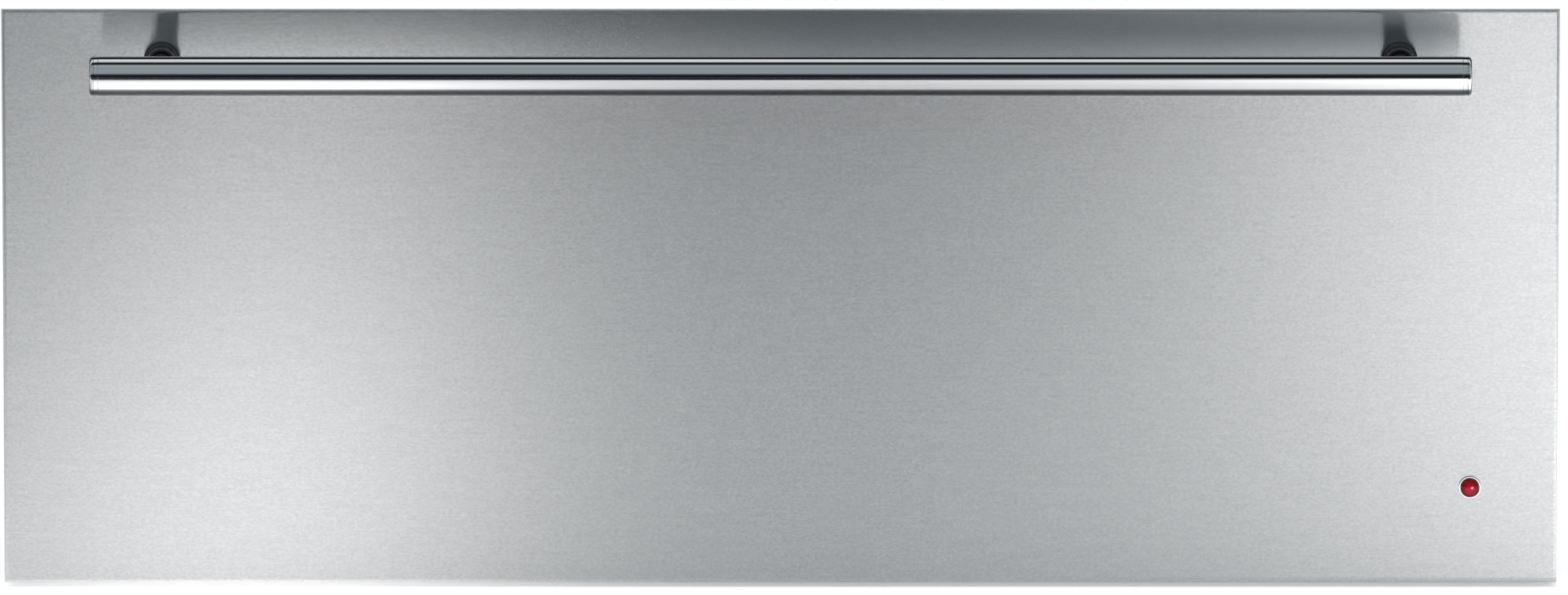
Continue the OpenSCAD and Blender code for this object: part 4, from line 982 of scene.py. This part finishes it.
def makeCamera(user=camera):
    data = bpy.data.cameras.new("camera")
    data.sensor_width = user["sensor"]
    pixel = (frontHigh.x - frontLow.x) / (photo["panelRight"] - photo["panelLeft"])
    data.lens = user["sensor"] * user["distance"] / (photoWidth * pixel)
    data.clip_end = 100
    view = addObject("camera", data)
    down = math.radians(user["down"])
    panelX = (photo["panelLeft"] + photo["panelRight"]) / 2
    panelZ = (photo["panelTop"] + photo["panelBottom"]) / 2
    aim = Vector(((photoWidth / 2 - panelX) * pixel, faceY,
                  (frontLow.z + frontHigh.z) / 2 + (panelZ - photoHeight / 2) * pixel))
    back = Vector((0, -math.cos(down), math.sin(down)))
    view.location = aim + back * user["distance"]
    view.rotation_euler = (math.pi / 2 - down, 0, 0)
    bpy.context.scene.camera = view


# a mesh of the studio with one plain shader; a hidden one is seen only in what shines
def addStage(name, mesh, shaderOf, hidden=True):
    piece = addObject(name, mesh)
    graph = newSurface(name)
    piece.data.materials.append(finishWith(graph, shaderOf(graph)))
    if hidden:
        piece.visible_camera = piece.visible_diffuse = False
        piece.visible_shadow = piece.visible_transmission = False
    return piece


ground = {"radius": 30, "steps": 96, "colour": (0.80,) * 3, "glow": 0.45}


# a wide white disc, and lit a little more where the camera sees it
def makeFloor(user=ground):
    def shader(graph):
        seen = graph.add("LightPath")
        matt = graph.add("BsdfDiffuse", {"Color": (*user["colour"], 1)})
        glow = graph.add("Emission", {"Strength": seen * user["glow"]})
        return graph.add("AddShader", {0: matt, 1: glow})
    mesh = bmesh.new()
    bmesh.ops.create_circle(mesh, cap_ends=True, radius=user["radius"], segments=user["steps"])
    addStage("floor", mesh, shader, hidden=False)


# the studio's shades, and where they stand from the floor in front (0) over the top (0.5) to behind (1)
studio = {
    "horizon": (0.011, 0.014, 0.018), "front": (0.29, 0.335, 0.35), "frontTop": (0.36, 0.40, 0.42),
    "ceiling": (0.010, 0.013, 0.016), "lamp": (0.80, 0.82, 0.84), "wall": (2.05,) * 3,
    "sideWall": (0.60, 0.61, 0.62), "rightWall": (0.50, 0.51, 0.52), "plain": (0.44, 0.45, 0.46),
    "stops": [(0.0, "horizon"), (0.085, "horizon"), (0.15, "front"), (0.35, "front"), (0.375, "frontTop"),
              (0.41, "frontTop"), (0.455, "ceiling"), (0.52, "ceiling"), (0.60, "lamp"), (0.68, "lamp"),
              (0.73, "ceiling"), (0.85, "ceiling")],
    "wallFrom": [(0.85, 0.0), (0.88, 1.0)], "wallWidth": [(0.4, 1.0), (0.8, 0.0)],
    "rightFrom": [(0.82, 0.0), (0.92, 1.0)]}


def makeWorld(user=studio):
    world = bpy.data.worlds.new("studio")
    bpy.context.scene.world = world
    world.use_nodes = True
    graph = Graph(world.node_tree)
    x, y, z = graph.split(graph.add("TexCoord"))
    turn = z.math("ARCTAN2", 0 - y) / math.pi
    shade = graph.ramp(turn, [(at, user[name]) for at, name in user["stops"]])
    ahead = graph.ramp(x.math("ABSOLUTE") / y.math("ABSOLUTE"), user["wallWidth"])
    wall = graph.colour(ahead, user["sideWall"], user["wall"])
    shade = graph.colour(graph.ramp(turn, user["wallFrom"]), shade, wall)
    shade = graph.colour(graph.ramp(x, user["rightFrom"]), shade, user["rightWall"])
    seen = graph.add("LightPath")
    shining = Wire(graph, seen.socket.node.outputs["Is Glossy Ray"])
    colour = graph.colour(seen, graph.colour(shining, user["plain"], shade), (1, 1, 1))
    sky = graph.add("Background", {"Color": colour})
    graph.add("OutputWorld", {"Surface": sky})


# soft patches of light on the floor, seen only in what shines; spread is one sigma in x and y
pools = {
    "leftPool": {"place": (-0.212, -0.45, 0.001), "spread": (0.078, 0.23), "strength": 1.03,
                 "colour": (1.0, 0.975, 0.965)},
    "farLeftPool": {"place": (-0.36, -1.05, 0.006), "spread": (0.14, 0.5), "strength": 0.16,
                    "colour": (1.0, 0.98, 0.97)},
    "sidePool": {"place": (1.0, -0.55, 0.002), "spread": (0.32, 0.6), "strength": 0.9, "colour": (1, 1, 1)},
    "rightPool": {"place": (0.43, -1.32, 0.004), "spread": (0.149, 0.82), "strength": 2.0,
                  "colour": (1.0, 0.985, 0.98)}}
poolReach = 3  # a pool's mesh ends at this many sigmas


def addPool(name, user):
    wide, deep = user["spread"]

    def shader(graph):
        offset = graph.place((1 / wide, 1 / deep, 0))
        fall = graph.measure("DOT_PRODUCT", offset, offset) * -0.5
        bright = fall.math("EXPONENT") * user["strength"]
        glow = graph.add("Emission", {"Color": (*user["colour"], 1), "Strength": bright})
        clear = graph.add("BsdfTransparent")
        return graph.add("AddShader", {0: clear, 1: glow})
    mesh = bmesh.new()
    bmesh.ops.create_grid(mesh, x_segments=1, y_segments=1, size=1)
    bmesh.ops.scale(mesh, vec=(wide * poolReach, deep * poolReach, 1), verts=mesh.verts)
    addStage(name, mesh, shader).location = user["place"]


paintedFloorShade = {
    "near": -1.12, "far": -14.0, "width": 12.0, "bottom": 0.002, "top": 0.003,
    "colour": (0.02, 0.022, 0.026)}


# a dark sheet on the floor far in front, seen only in what shines: painted shade for the far floor, which
# the lamps light less
def makeDarkFloor(user=paintedFloorShade):
    half = user["width"] / 2
    mesh = bmesh.new()
    addBox(mesh, (-half, user["far"], user["bottom"]), (half, user["near"], user["top"]))
    addStage("darkFloor", mesh, lambda graph: graph.add("BsdfDiffuse", {"Color": (*user["colour"], 1)}))


softboxes = {
    "overheadBox": {"place": (0, -0.6, 3.0), "target": (0, 0, 0), "size": 3.0, "power": 46},
    "leftBox": {"place": (-2.4, -1.6, 1.8), "target": (0, 0, 0.1), "size": 1.6, "power": 24},
    "rightBox": {"place": (2.4, -1.6, 1.8), "target": (0, 0, 0.1), "size": 1.6, "power": 24}}


# a square lamp that neither the camera nor a reflection sees
def addSoftbox(name, user):
    data = bpy.data.lights.new(name, "AREA")
    data.shape = "RECTANGLE"
    data.size = data.size_y = user["size"]
    data.energy = user["power"]
    box = addObject(name, data)
    box.location = user["place"]
    box.rotation_mode = "QUATERNION"
    box.rotation_quaternion = (Vector(user["target"]) - Vector(user["place"])).to_track_quat("-Z", "Y")
    box.visible_camera = box.visible_glossy = False


makeCamera()
makeFloor()
makeWorld()
makeDarkFloor()
for name, user in softboxes.items():
    addSoftbox(name, user)
for name, user in pools.items():
    addPool(name, user)
bpy.context.scene.view_settings.view_transform = "Standard"
print("camera, floor and light made")
